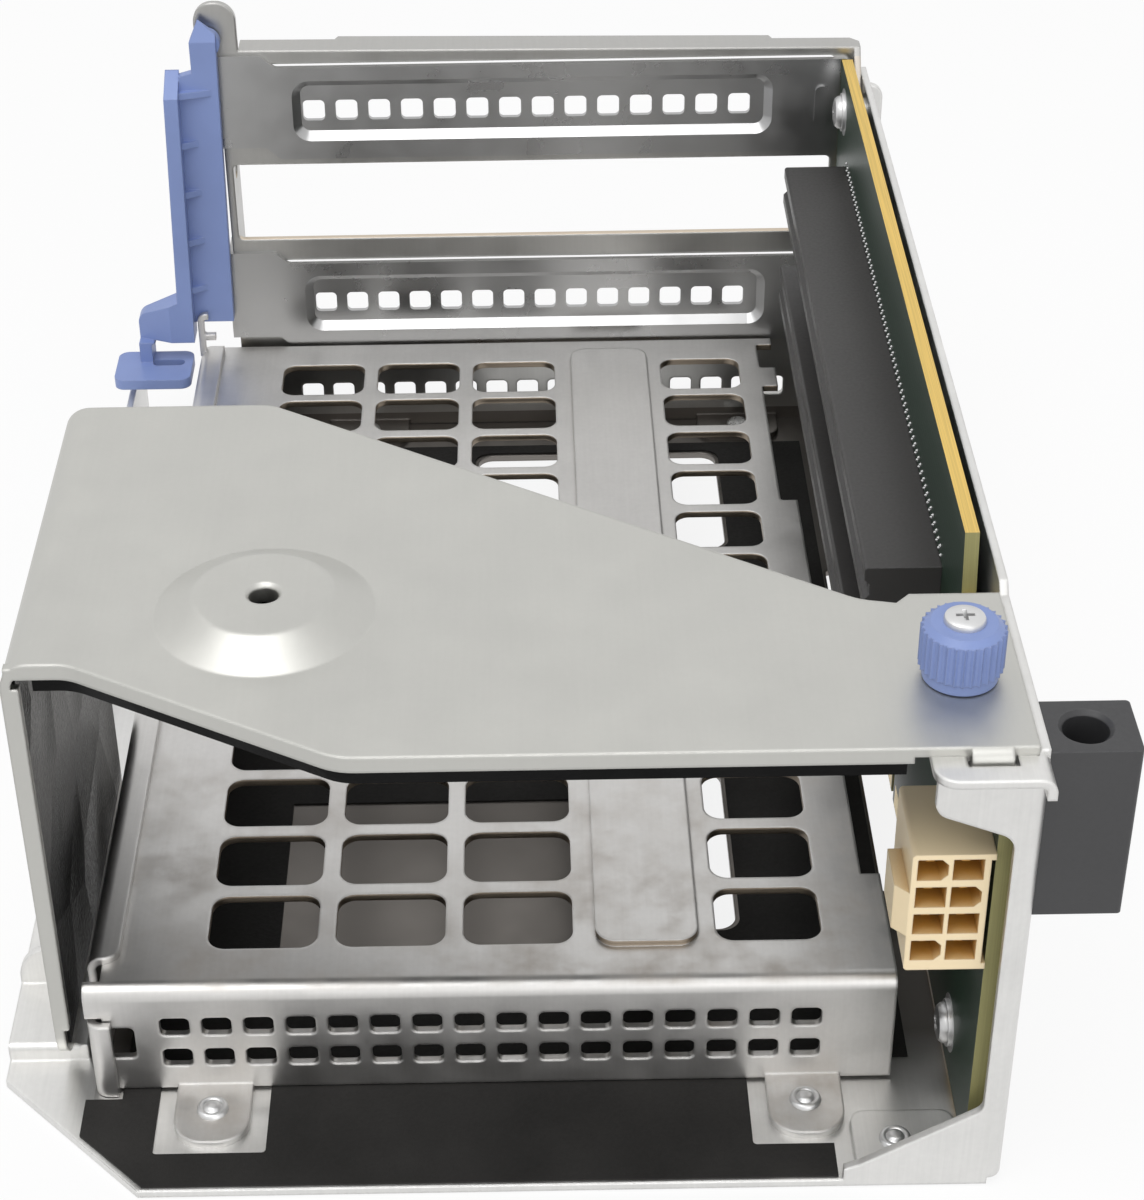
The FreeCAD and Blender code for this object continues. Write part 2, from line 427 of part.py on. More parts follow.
def make_cover():
    body = new_body("top_cover")
    top, gauge = size.cover_top, size.cover_gauge
    left, right = -size.cover_left, -size.cover_right
    grow(body, "bridge", "XZ_Plane", "sizes.cover_front", "sizes.cover_back - sizes.cover_front",
         outline((right, top), (left, top, size.cover_bend + gauge), (left, size.ledge_top),
                 (left + gauge, size.ledge_top), (left + gauge, size.cover_low, size.cover_bend),
                 (right, size.cover_low)))
    out = left - gauge
    cut(body, "front_outline", "XY_Plane", "0", "sizes.cover_top + sizes.gauge",
        outline((right - size.hem_right, size.cover_front),
                (-size.front_corner_x, size.cover_front, size.front_corner_round),
                (-size.front_slant_x, size.leg_front, size.front_slant_round), (out, size.leg_front),
                (out, -gauge), (right - size.hem_right, -gauge)))
    cut(body, "back_outline", "XY_Plane", "0", "sizes.cover_top + sizes.gauge",
        outline((-size.back_corner_x - size.leg_round, size.cover_back),
                (-size.back_corner_x, size.cover_back, size.back_corner_round),
                (-size.back_slant_x, size.back_slant_y, size.back_slant_round), (-size.step_x, size.step_y),
                (-size.tab_left, size.tab_back), (0, size.tab_back), (0, size.cover_back + gauge),
                (-size.back_corner_x - size.leg_round, size.cover_back + gauge)))
    hem_in = size.cover_front + gauge
    leg_in = size.leg_front + gauge
    grow(body, "front_hem", "XY_Plane", "sizes.cover_top - sizes.cover_gauge - sizes.hem_drop",
         "sizes.hem_drop + sizes.cover_gauge / 2",
         outline((-size.hem_right, size.cover_front),
                 (-size.front_corner_x, size.cover_front, size.front_corner_round),
                 (-size.front_slant_x, size.leg_front, size.front_slant_round),
                 (left + gauge / 2, size.leg_front), (left + gauge / 2, leg_in),
                 (-size.front_slant_x + skew(gauge), leg_in, size.front_slant_round + gauge),
                 (-size.front_corner_x + skew(gauge), hem_in, size.front_corner_round - gauge),
                 (-size.hem_right, hem_in)))
    lip_low = size.ledge_top + size.leg_round + gauge
    lip_high = size.cover_low - size.cover_bend
    grow(body, "leg_lip", "XZ_Plane", "sizes.leg_front", "sizes.cover_gauge",
         outline((left + gauge / 2, lip_low), (left + size.leg_lip_low, lip_low, gauge / 3),
                 (left + size.leg_lip, lip_high), (left + gauge / 2, lip_high)))
    cut(body, "boss_seat", "XY_Plane", "sizes.cover_top - 2 * sizes.cover_gauge", "4 * sizes.cover_gauge",
        circle(-size.boss_x, size.boss_y, size.boss_foot - gauge / 2))
    crown = top + size.boss_rise
    crown_low = crown - gauge
    turn(body, "boss", "-sizes.boss_x", "sizes.boss_y",
         (size.boss_foot, top), (size.boss_crown, crown, size.crown_round),
         (size.boss_bore + size.bore_lead, crown), (size.boss_bore, crown - size.bore_lead),
         (size.boss_bore, crown_low - gauge), (size.collar_radius, crown_low - gauge),
         (size.collar_radius, crown_low), (size.boss_crown - gauge / 3, crown_low),
         (size.boss_foot - gauge, size.cover_low), (size.boss_foot, size.cover_low))
    hook_out = size.cover_front - gauge
    grow(body, "hook_tab", "YZ_Plane", "-sizes.hook_x - sizes.hook_width / 2", "sizes.hook_width",
         outline((size.cover_front + gauge, top), (hook_out, top, gauge + size.bore_lead),
                 (hook_out, size.cover_low - size.hook_drop),
                 (size.cover_front, size.cover_low - size.hook_drop),
                 (size.cover_front, size.cover_low, size.bore_lead),
                 (size.cover_front + gauge, size.cover_low)))
    cut(body, "screw_hole", "XY_Plane", "sizes.cover_top - 2 * sizes.cover_gauge", "4 * sizes.cover_gauge",
        circle(-size.thumb_x, size.thumb_y, size.screw_shank + size.screw_clearance))
    cut(body, "leg_corner", "YZ_Plane", "-sizes.cover_left - sizes.gauge", "3 * sizes.cover_gauge",
        rounded_end(size.leg_front, size.ledge_top, size.leg_round, -1, -1))


def make_cover_liner():
    body = new_body("cover_liner")
    left = -size.cover_left + size.cover_gauge
    inset = size.film_inset
    front, back, right = size.film_front, size.film_back, -size.film_right
    behind = front - size.cover_front
    leg_front = size.leg_front + behind
    film = size.film
    grow(body, "film_sheet", "XZ_Plane", "sizes.film_front", "sizes.film_back - sizes.film_front",
         outline((right, size.cover_low), (left, size.cover_low, size.cover_bend),
                 (left, size.ledge_top + 2 * inset), (left + film, size.ledge_top + 2 * inset),
                 (left + film, size.cover_low - film, size.cover_bend - film),
                 (right, size.cover_low - film)))
    slant_x = -size.front_slant_x + skew(behind)
    corner_x = -size.front_corner_x + skew(behind)
    slant_round = size.front_slant_round + behind
    corner_round = size.front_corner_round - behind
    cut(body, "film_front", "XY_Plane", "0", "sizes.cover_top",
        outline((right + 1, front), (corner_x, front, corner_round), (slant_x, leg_front, slant_round),
                (left - 1, leg_front), (left - 1, front - 1), (right + 1, front - 1)))
    cut(body, "film_back", "XY_Plane", "0", "sizes.cover_top",
        outline((-size.back_corner_x - 2 * inset, back + 1), (-size.back_corner_x - 2 * inset, back),
                (-size.back_slant_x - 2 * inset, size.back_slant_y), (right + 1, size.step_y - inset),
                (right + 1, back + 1)))
    grow(body, "film_hem", "XY_Plane", "sizes.cover_top - sizes.cover_gauge - sizes.film_hem",
         "sizes.film_hem - sizes.film / 2",
         outline((right, front), (corner_x, front, corner_round), (slant_x, leg_front, slant_round),
                 (left + size.cover_bend, leg_front), (left + size.cover_bend, leg_front + film),
                 (slant_x + skew(film), leg_front + film, slant_round + film),
                 (corner_x + skew(film), front + film, corner_round - film), (right, front + film)))


def make_floor_insulator():
    body = new_body("floor_insulator")
    margin = size.film_margin
    corner_run = size.floor_film_left - size.floor_corner_x + margin
    left_back = size.side_face - size.wrap_reach - margin
    front_right = -size.flange_reach - margin
    right = -size.port_left - margin
    tongue_back = size.wrap_front - margin
    foot_back = size.shelf_front + 3 * size.gauge
    grow(body, "film_sheet", "XY_Plane", "sizes.gauge", "sizes.floor_film",
         outline((front_right, margin), (-size.floor_corner_x + margin, margin),
                 (-size.floor_film_left, corner_run + margin), (-size.floor_film_left, tongue_back),
                 (-left_back, tongue_back), (-left_back, size.floor_film_back),
                 (right, size.floor_film_back), (right, foot_back), (front_right, foot_back)))
    half = size.tab_width / 2 + size.window_margin
    cut(body, "tab_windows", "XY_Plane", "0", "3 * sizes.gauge",
        rectangle(-size.tab_x_one - half, -size.tab_x_one + half, size.tab_front - 2 * margin, foot_back,
                  margin),
        rectangle(-size.tab_x_two - half, 0, size.tab_front - 2 * margin, foot_back + margin, margin))
    cut(body, "floor_windows", "XY_Plane", "0", "3 * sizes.gauge",
        rectangle(-size.service_left - margin, -size.service_right + margin, size.service_front - margin,
                  size.service_back + margin, size.opening_round),
        rectangle(-size.outlet_left - margin, -size.outlet_right + margin, size.outlet_front - margin,
                  size.outlet_back + margin, size.opening_round))


def make_shelf():
    body = new_body("vented_shelf")
    gauge = size.gauge
    front, back = size.shelf_front, size.shelf_back
    grow(body, "shelf_sheet", "YZ_Plane", "-sizes.shelf_left", "sizes.shelf_left - sizes.shelf_right",
         outline((front, size.flange_foot), (front, size.shelf_top, size.outer_bend),
                 (back, size.shelf_top), (back, size.shelf_low),
                 (front + gauge, size.shelf_low, size.bend), (front + gauge, size.flange_foot)))
    over = 2 * gauge
    cut(body, "side_outlines", "XY_Plane", "sizes.shelf_top - 2 * sizes.gauge", "3 * sizes.gauge",
        rectangle(-size.shelf_left - over, -size.shelf_edge, front + gauge + size.bend, back + over),
        rectangle(-size.shelf_inner_right, over, size.shelf_step, back + over),
        *[rectangle(-size.shelf_inner_right - size.notch_depth, -size.shelf_inner_right + over, low, high,
                    size.film_margin)
          for low, high in ((size.notch_one, size.notch_one_back), (size.notch_two, size.notch_two_back))])
    columns = [(-size.hole_left + size.hole_pitch * index, size.hole_width) for index in range(3)]
    columns.append((-size.side_hole_x, size.side_hole_width))
    rows = [size.front_row + size.row_pitch * index for index in range(int(size.front_rows))]
    rear_rows = int((size.back_row - rows[-1]) / size.row_pitch)
    rows += [size.back_row - size.row_pitch * index for index in range(rear_rows)]
    cut(body, "air_holes", "XY_Plane", "sizes.shelf_top - 2 * sizes.gauge", "3 * sizes.gauge",
        *[rectangle(x - wide / 2, x + wide / 2, y - size.hole_depth / 2, y + size.hole_depth / 2,
                    size.hole_round)
          for x, wide in columns for y in rows])
    vents = [(-size.vent_first + size.vent_pitch * index, size.vent_row - size.vent_rise * line)
             for index in range(int(size.vent_columns)) for line in range(2)]
    port_row = size.vent_row - size.vent_rise / 2
    cut(body, "flange_vents", "XZ_Plane", "sizes.shelf_front - sizes.gauge", "3 * sizes.gauge",
        *[rectangle(x - size.vent_width / 2, x + size.vent_width / 2, z - size.vent_height / 2,
                    z + size.vent_height / 2, size.vent_round) for x, z in vents],
        rectangle(-size.port_hole_x - size.port_hole_width / 2,
                  -size.port_hole_x + size.port_hole_width / 2,
                  port_row - size.port_hole_height / 2, port_row + size.port_hole_height / 2,
                  size.vent_round))
    cut(body, "wrap_notch", "XZ_Plane", "sizes.shelf_front - sizes.gauge", "3 * sizes.gauge",
        rectangle(-size.shelf_left - over, -size.shelf_edge, 0, size.wrap_top + size.film_margin))
    half = size.rib_width / 2
    grow(body, "rib", "XY_Plane", "sizes.shelf_top", "sizes.rib_rise",
         rectangle(-size.rib_x - half, -size.rib_x + half, size.rib_front, size.rib_back, size.rib_round))
    cut(body, "rib_hollow", "XY_Plane", "sizes.shelf_top - 2 * sizes.gauge", "sizes.gauge + sizes.rib_rise",
        rectangle(-size.rib_x - half + gauge, -size.rib_x + half - gauge, size.rib_front + gauge,
                  size.rib_back - gauge, size.rib_round - gauge))
    grow(body, "foot_tabs", "XY_Plane", "sizes.gauge", "sizes.gauge",
         *[outline((-x - size.tab_width / 2, front + gauge),
                   (-x - size.tab_width / 2, size.tab_front, size.tab_round),
                   (-x + size.tab_width / 2, size.tab_front, size.tab_round),
                   (-x + size.tab_width / 2, front + gauge))
           for x in (size.tab_x_one, size.tab_x_two)])
    cut(body, "rivet_holes", "XY_Plane", "0", "3 * sizes.gauge",
        *[circle(x, y, size.rivet_radius + size.rivet_fit) for x, y in rivet_spots])


def make_shelf_side_wall():
    body = new_body("shelf_side_wall")
    gauge = size.gauge
    face = -size.side_face
    low = size.sheet_low
    grow(body, "wall", "XZ_Plane", "sizes.side_front", "sizes.side_back - sizes.side_front",
         outline((face, low), (face, size.shelf_top + gauge, size.outer_bend),
                 (face + size.side_lap, size.shelf_top + gauge), (face + size.side_lap, size.shelf_top),
                 (face + gauge, size.shelf_top, size.bend), (face + gauge, low)))
    cut(body, "lap_end", "XY_Plane", "sizes.shelf_top - sizes.gauge", "3 * sizes.gauge",
        rounded_end(face + size.side_lap, size.side_front, size.lap_round, 1, -1))
    wrap_front = size.wrap_front
    grow(body, "front_wrap", "XY_Plane", "sizes.sheet_low", "sizes.wrap_top - sizes.sheet_low",
         outline((face, size.side_front + gauge), (face, wrap_front, size.outer_bend),
                 (face + size.wrap_reach, wrap_front), (face + size.wrap_reach, wrap_front + gauge),
                 (face + gauge, wrap_front + gauge, size.bend), (face + gauge, size.side_front + gauge)))
    bar, tip = size.catch_bar, face + size.catch_reach
    grow(body, "catch", "XZ_Plane", "sizes.side_back - sizes.catch_inset", "sizes.gauge",
         outline((face, size.shelf_top), (face + bar, size.shelf_top), (face + bar, size.catch_low),
                 (tip, size.catch_low), (tip, size.catch_low + bar),
                 (face + bar, size.catch_low + bar, bar / 3), (face + bar, size.catch_high - bar, bar / 3),
                 (tip - bar, size.catch_high - bar), (tip - bar, size.catch_high),
                 (face, size.catch_high, size.catch_round)))


def make_rear_frame():
    body = new_body("rear_slot_frame")
    gauge = size.gauge
    left, right = -size.frame_left, -size.gauge - size.seam
    grow(body, "frame_plate", "XZ_Plane", "sizes.frame_face", "sizes.gauge",
         outline((left, size.sheet_low), (right, size.sheet_low, size.outer_bend),
                 (right, size.frame_right_top), (-size.ear_right, size.frame_top),
                 (-size.ear_right, size.ear_top, size.ear_round),
                 (-size.ear_left, size.ear_top, size.ear_round),
                 (-size.ear_left, size.frame_top - size.ear_notch), (left, size.frame_top - size.ear_neck)))
    cut(body, "card_openings", "XZ_Plane", "sizes.frame_face - sizes.gauge", "3 * sizes.gauge",
        *[rectangle(-size.opening_left, -size.opening_right, size.opening_low - size.slot_pitch * index,
                    size.opening_high - size.slot_pitch * index, size.opening_corner)
          for index in range(3)])
    side_back = size.frame_back + size.side_flange
    side_top = size.frame_top - size.ear_round
    grow(body, "side_flange", "YZ_Plane", "-sizes.frame_left", "sizes.gauge",
         outline((size.frame_face, size.side_flange_foot),
                 (side_back, size.side_flange_foot, size.side_flange_round),
                 (side_back, side_top, size.side_flange_round), (size.frame_face, side_top)))
    cut(body, "screw_holes", "YZ_Plane", "-sizes.frame_left - sizes.gauge", "3 * sizes.gauge",
        *[circle(size.frame_face + size.screw_hole_back,
                 size.slot_row + size.screw_hole_rise - size.slot_pitch * index, size.screw_hole)
          for index in range(3)])
    grow(body, "top_lip", "XZ_Plane", "sizes.frame_face", "sizes.gauge + sizes.top_lip_mid",
         outline((-size.ear_right, size.frame_top - gauge), (right, size.frame_right_top - gauge),
                 (right, size.frame_right_top), (-size.ear_right, size.frame_top)))
    edge, step, taper = size.frame_back + size.top_lip, size.lip_step, size.top_lip_taper
    beyond = size.frame_back + size.top_lip_mid + gauge
    middle_edge = size.frame_back + size.top_lip_mid
    cut(body, "lip_outline", "XY_Plane", "sizes.frame_right_top - 2 * sizes.gauge",
        "sizes.frame_drop + 3 * sizes.gauge",
        outline((-size.ear_right - gauge, edge), (-size.lip_mid_left, edge),
                (-size.lip_mid_left + step, middle_edge), (-size.lip_mid_right - step, middle_edge - taper),
                (-size.lip_mid_right, edge - taper), (right - size.lip_corner, edge - taper),
                (right, edge - taper - size.lip_corner), (right + gauge, edge - taper - size.lip_corner),
                (right + gauge, beyond), (-size.ear_right - gauge, beyond)))
    inner_front = size.frame_face - size.inner_flange_reach
    grow(body, "inner_flange", "YZ_Plane", "-2 * sizes.gauge - sizes.seam", "sizes.gauge",
         outline((size.frame_back, size.inner_flange_low), (size.frame_back, size.frame_right_top),
                 (size.frame_face, size.frame_right_top), (inner_front, size.inner_flange_top),
                 (inner_front, size.inner_flange_low)))
    middle = (left + right) / 2
    span = size.panel_vent_pitch * (size.panel_vents - 1)
    vents = [middle - span / 2 + size.panel_vent_pitch * column for column in range(int(size.panel_vents))]
    half = size.panel_vent / 2
    cut(body, "panel_vents", "XZ_Plane", "sizes.frame_face - sizes.gauge", "3 * sizes.gauge",
        *[rectangle(x - half, x + half, size.panel_row - half, size.panel_row + half, size.vent_round)
          for x in vents])
    foot = size.frame_foot
    grow(body, "foot", "XY_Plane", "sizes.gauge", "sizes.gauge",
         *[outline((-x - foot, size.frame_back), (-x - foot, size.frame_face - foot, size.frame_foot_round),
                   (-x + foot, size.frame_face - foot, size.frame_foot_round), (-x + foot, size.frame_back))
           for x in (size.frame_rivet_one, size.frame_rivet_two)])
    cut(body, "foot_rivet_holes", "XY_Plane", "0", "4 * sizes.gauge",
        *[circle(-x, size.frame_face - foot / 2, size.rivet_radius + size.rivet_fit)
          for x in (size.frame_rivet_one, size.frame_rivet_two)])
    cut(body, "pin_hole", "XZ_Plane", "sizes.frame_face - sizes.gauge", "3 * sizes.gauge",
        circle(-size.pin_x, size.pin_z, size.pin_radius + size.rivet_fit))


def make_slot_cover(label, slots_down):
    """Blank cover of one card opening, with a tab bent back beside the frame's flange."""
    body = new_body(label)
    row = size.slot_row - size.slot_pitch * slots_down
    low, high = row - size.cover_half, row + size.cover_half
    shift, neck, run = size.cover_shift, -size.cover_neck, size.cover_neck_run
    gauge = size.slot_gauge
    tab = -size.cover_tab
    face = "sizes.slot_face"
    grow(body, "blank", "XZ_Plane", face, "sizes.slot_gauge",
         outline((tab, low + shift), (neck, low + shift, size.neck_round),
                 (neck + run, low, size.neck_round), (-size.cover_end, low, size.cover_corner),
                 (-size.cover_end, high, size.cover_corner), (neck + run, high, size.neck_round),
                 (neck, high + shift, size.neck_round), (tab, high + shift)))
    inset = size.cover_tab_inset
    tab_back = size.slot_face + size.cover_tab_back
    grow(body, "tab", "YZ_Plane", "-sizes.cover_tab", "sizes.slot_gauge",
         outline((size.slot_face, low + shift), (size.frame_face, low + shift + inset),
                 (tab_back, low + shift + inset, size.tab_round_back),
                 (tab_back, high + shift - inset, size.tab_round_back),
                 (size.frame_face, high + shift - inset), (size.slot_face, high + shift)))
    notch = row + size.screw_hole_rise
    notch_y = size.frame_face + size.screw_hole_back
    slot = size.cover_tab_slot
    cut(body, "tab_notch", "YZ_Plane", "-sizes.cover_tab - sizes.slot_gauge", "3 * sizes.slot_gauge",
        outline((notch_y - slot, notch - slot, slot * 0.9), (tab_back + gauge, notch - slot),
                (tab_back + gauge, notch + slot), (notch_y - slot, notch + slot, slot * 0.9)))
    recess = rectangle(-size.recess_left, -size.recess_right, row - size.recess_low, row + size.recess_high,
                       size.recess_round)
    grow(body, "recess_back", "XZ_Plane", f"{face} + sizes.slot_gauge", "sizes.recess_depth", recess,
         slope="sizes.recess_slope")
    cut(body, "recess", "XZ_Plane", face, "sizes.recess_depth", recess, slope="sizes.recess_slope")
    half = size.slot_vent / 2
    vents = [-size.slot_vent_first + size.slot_vent_pitch * index for index in range(int(size.slot_vents))]
    cut(body, "vents", "XZ_Plane", face, "sizes.slot_gauge + 2 * sizes.recess_depth",
        *[rectangle(x - half, x + half, row - half, row + half, size.vent_round) for x in vents])
    grow(body, "end_bump", "XZ_Plane", f"{face} - sizes.bump_rise", "sizes.bump_rise",
         rectangle(-size.bump_x - size.bump_width / 2, -size.bump_x + size.bump_width / 2,
                   row - size.bump_height / 2, row + size.bump_height / 2, size.bump_width * 0.45))


def make_card_retainer():
    body = new_body("card_retainer")
    overlap = size.plate_gauge / 2
    grow(body, "plate", "XZ_Plane", "sizes.plate_front", "sizes.plate_gauge",
         outline((-size.strip_in_low - overlap, size.plate_low), (-size.plate_right_low, size.plate_low),
                 (-size.plate_right, size.plate_right_top), (-size.plate_crown_x, size.plate_crown),
                 (-size.plate_left, size.web_top), (-size.plate_left, size.strip_top),
                 (-size.strip_in - overlap, size.strip_top - overlap)))
    slant_high = size.web_top + size.plate_slant * (size.plate_gauge + overlap)
    cut(body, "plate_top", "YZ_Plane", "-sizes.strip_out",
        "sizes.strip_out - sizes.plate_right + sizes.knuckle",
        outline((size.plate_front - overlap, size.web_top - size.plate_slant * overlap),
                (size.plate_back + overlap, slant_high), (size.plate_front - overlap, slant_high)))
    grow(body, "knuckle", "XZ_Plane", "sizes.plate_back - sizes.plate_gauge / 2",
         "sizes.frame_face - sizes.film - sizes.plate_back + sizes.plate_gauge / 2",
         circle(-size.pin_x, size.pin_z, size.knuckle))
    toe_in = -size.toe_left + size.toe_wall
    slot_top = size.finger_top + size.toe_slot
    grow(body, "strip", "XZ_Plane", "sizes.strip_front", "sizes.strip_depth",
         outline((-size.strip_in, size.strip_top), (-size.strip_out, size.strip_top),
                 (-size.strip_out_low, size.strip_foot), (-size.toe_left, size.toe_top, size.toe_round),
                 (-size.toe_left, size.finger_top - overlap), (toe_in, size.finger_top - overlap),
                 (toe_in, slot_top, size.toe_slot_round), (-size.strip_in_low, slot_top)))
    top_fall = (size.strip_top - size.strip_front_top) / size.strip_depth
    cut(body, "strip_slant", "YZ_Plane", "-sizes.strip_out - sizes.plate_gauge",
        "sizes.strip_out - sizes.strip_in + sizes.plate_gauge",
        outline((size.strip_front - overlap, size.strip_front_top - top_fall * overlap),
                (size.plate_back, size.strip_top), (size.strip_front - overlap, size.strip_top + overlap)))
    cut(body, "toe_bevel", "XY_Plane", "sizes.finger_top + sizes.toe_slot",
        "sizes.strip_foot - sizes.finger_top",
        outline((-size.toe_left - overlap, size.strip_front - overlap),
                (-size.toe_bevel_x, size.strip_front - overlap), (-size.toe_bevel_x, size.strip_front),
                (-size.toe_left - overlap, size.strip_front + size.toe_bevel)))
    finger_back = size.plate_back - size.finger_back_gap
    grow(body, "finger_tab", "XY_Plane", "sizes.finger_top - sizes.finger_gauge", "sizes.finger_gauge",
         outline((-size.finger_left, size.finger_front, size.finger_round),
                 (-size.finger_right, size.finger_front, size.finger_round),
                 (-size.finger_right, finger_back, size.finger_round),
                 (-size.finger_left, finger_back, size.finger_round)))
    slot_back = size.finger_slot_front + size.finger_slot
    cut(body, "finger_slot", "XY_Plane", "sizes.finger_top - 2 * sizes.finger_gauge",
        "2 * sizes.finger_gauge",
        rectangle(toe_in, -size.finger_right - size.finger_rim, size.finger_slot_front, slot_back,
                  size.finger_slot * 0.45))
    slope = (size.strip_in_low - size.strip_in) / (size.strip_top - size.plate_low)
    last = int(size.gussets) - 1
    rim = size.strip_front + size.finger_rim
    for index in range(last + 1):
        level = size.gusset_first + size.gusset_pitch * index
        inner = -size.strip_in - slope * (size.strip_top - level)
        tip = inner + (size.long_gusset_run if index == last else size.gusset_run)
        grow(body, f"gusset_{index + 1}", "XY_Plane", f"sizes.gusset_first + sizes.gusset_pitch * {index}",
             "sizes.gusset_gauge",
             outline((inner - overlap, rim), (inner, rim), (tip, size.plate_front),
                     (tip, size.plate_front + overlap), (inner - overlap, size.plate_front + overlap)))
    press_right = -size.cover_tab - size.press_gap
    rail_low, rail_high = size.plate_low + size.plate_gauge, size.strip_top
    grow(body, "press_rail", "XZ_Plane", "sizes.plate_back - sizes.plate_gauge",
         "sizes.press_back + sizes.plate_gauge",
         rectangle(press_right - size.press_gauge, press_right, rail_low, rail_high))
    cut(body, "pin_bore", "XZ_Plane", "sizes.plate_front + sizes.bore_skin", "4 * sizes.plate_gauge",
        circle(-size.pin_x, size.pin_z, size.pin_radius + size.pin_play))


def make_retainer_pin():
    """Hinge pin that stands on the ear; its head is behind the ear and its end is inside the latch."""
    start = size.plate_front + size.bore_skin + size.pin_end_gap
    tail = size.frame_back + size.pin_head_rise
    fastener_group("retainer_pin", [turned(
        Vector(0, 1, 0), Vector(-size.pin_x, 0, size.pin_z),
        (0, start), (size.pin_radius, start), (size.pin_radius, size.frame_back),
        (size.pin_head * 0.9, size.frame_back), (size.pin_head * 0.8, tail), (0, tail))])


def make_board():
    body = new_body("riser_board")
    margin = size.finger_margin
    grow(body, "board", "YZ_Plane", "-sizes.board_face", "sizes.board_gauge",
         outline((size.board_front, size.board_low), (size.port_front + margin, size.board_low),
                 (size.port_front + margin, size.finger_low), (size.key_y, size.finger_low),
                 (size.key_y, size.finger_low + size.key_depth),
                 (size.key_y + size.key_width, size.finger_low + size.key_depth),
                 (size.key_y + size.key_width, size.finger_low), (size.port_back - margin, size.finger_low),
                 (size.port_back - margin, size.board_low), (size.board_back, size.board_low),
                 (size.board_back, size.board_top), (size.board_step + size.board_step_run, size.board_top),
                 (size.board_step, size.board_front_top), (size.board_front, size.board_front_top)))
    cut(body, "screw_holes", "YZ_Plane", "-sizes.board_face - 1", "sizes.board_gauge + 2",
        *[circle(y, z, size.board_screw + size.board_screw_play) for y, z in board_screw_spots])


def make_socket(label, slots_down):
    """Card edge socket that lies on the board's face, with its mouth to the left."""
    body = new_body(label)
    top = size.socket_top - size.slot_pitch * slots_down
    low = top - size.socket_height
    middle = (top + low) / 2
    mouth = -size.mouth
    lead, slot = size.socket_lead, size.socket_slot / 2
    grow(body, "housing", "XZ_Plane", "sizes.socket_front", "sizes.socket_back - sizes.socket_front",
         outline((-size.board_face, low), (-size.board_face, top), (mouth, top, size.socket_round),
                 (mouth, middle + slot + lead), (mouth + lead, middle + slot),
                 (mouth + lead, middle - slot), (mouth, middle - slot - lead),
                 (mouth, low, size.socket_round)))
    wall, key = size.socket_wall, size.socket_key_width / 2
    cut(body, "card_slot", "YZ_Plane", "-sizes.mouth", "sizes.socket_depth",
        rectangle(size.socket_front + wall, size.socket_key - key, middle - slot, middle + slot),
        rectangle(size.socket_key + key, size.socket_back - wall, middle - slot, middle + slot))


def make_contacts(label, slots_down):
    """Two rows of contact blades on the walls of a socket's slot."""
    middle = size.socket_top - size.socket_height / 2 - size.slot_pitch * slots_down
    mouth = -size.mouth
    first = size.socket_front + 2 * size.socket_wall
    count = int((size.socket_back - 2 * size.socket_wall - first) / size.contact_pitch)
    key_room = size.contact_pitch / 2 + size.socket_key_width / 2
    blades = []
    for index in range(count):
        y = first + size.contact_pitch * index
        if abs(y + size.contact_width / 2 - size.socket_key) < key_room:
            continue
        for side in (-1, 1):
            z = middle + side * (size.socket_slot / 2 - size.contact_gauge / 2) - size.contact_gauge / 2
            corner = Vector(mouth + 3 * size.socket_lead, y, z)
            reach = size.socket_depth - 3 * size.socket_lead
            blades.append(Part.makeBox(reach, size.contact_width, size.contact_gauge, corner))
    fastener_group(label, blades)


def power_cell_centres():
    """Column, line and centre of each of the eight cells of the power header."""
    return [(column, line, -size.power_column + size.power_pitch * column,
             size.power_first - size.power_pitch * line) for column in range(2) for line in range(4)]


def make_power_socket():
    body = new_body("power_socket")
    left = -size.power_left
    top, low = size.power_top, size.power_top - size.power_height
    grow(body, "shell", "XZ_Plane", "sizes.power_front", "sizes.power_depth",
         outline((left, low, size.power_round), (-size.board_face, low), (-size.board_face, top),
                 (left, top, size.power_round)))
    nub_back = size.power_front + size.nub_depth
    grow(body, "nub", "XY_Plane", "sizes.nub_low", "sizes.nub_height",
         outline((left + size.power_round, size.power_front), (left, size.power_front),
                 (left - size.nub_reach, size.power_front + size.nub_reach),
                 (left - size.nub_reach, nub_back), (left + size.power_round, nub_back)))
    lip = size.power_side_lip
    cut(body, "side_gap", "XZ_Plane", "sizes.power_front - sizes.power_round",
        "sizes.power_side_depth + sizes.power_round",
        rectangle(-size.board_face - size.power_side_gap, -size.board_face + size.power_side_gap, low + lip,
                  top - lip))
    half, rise, bevel = size.power_cell / 2, size.power_cell_height / 2, size.power_cell_cut
    keyed = {(0, 0), (1, 1), (0, 3)}
    cells = []
    for column, line, x, z in power_cell_centres():
        if (column, line) in keyed:
            cells.append(outline((x - half, z - rise), (x + half - bevel, z - rise),
                                 (x + half, z - rise + bevel), (x + half, z + rise - bevel),
                                 (x + half - bevel, z + rise), (x - half, z + rise)))
        else:
            cells.append(rectangle(x - half, x + half, z - rise, z + rise))
    cut(body, "cells", "XZ_Plane", "sizes.power_front - sizes.power_round",
        "sizes.power_cell_depth + sizes.power_round", *cells)


def make_power_pins():
    back = size.power_front + size.power_cell_depth
    wide = 2 * size.power_pin
    pins = []
    for _, _, x, z in power_cell_centres():
        corner = Vector(x - size.power_pin, back - size.power_pin_reach, z - size.power_pin)
        pins.append(Part.makeBox(wide, size.power_pin_reach, wide, corner))
    fastener_group("power_pins", pins)


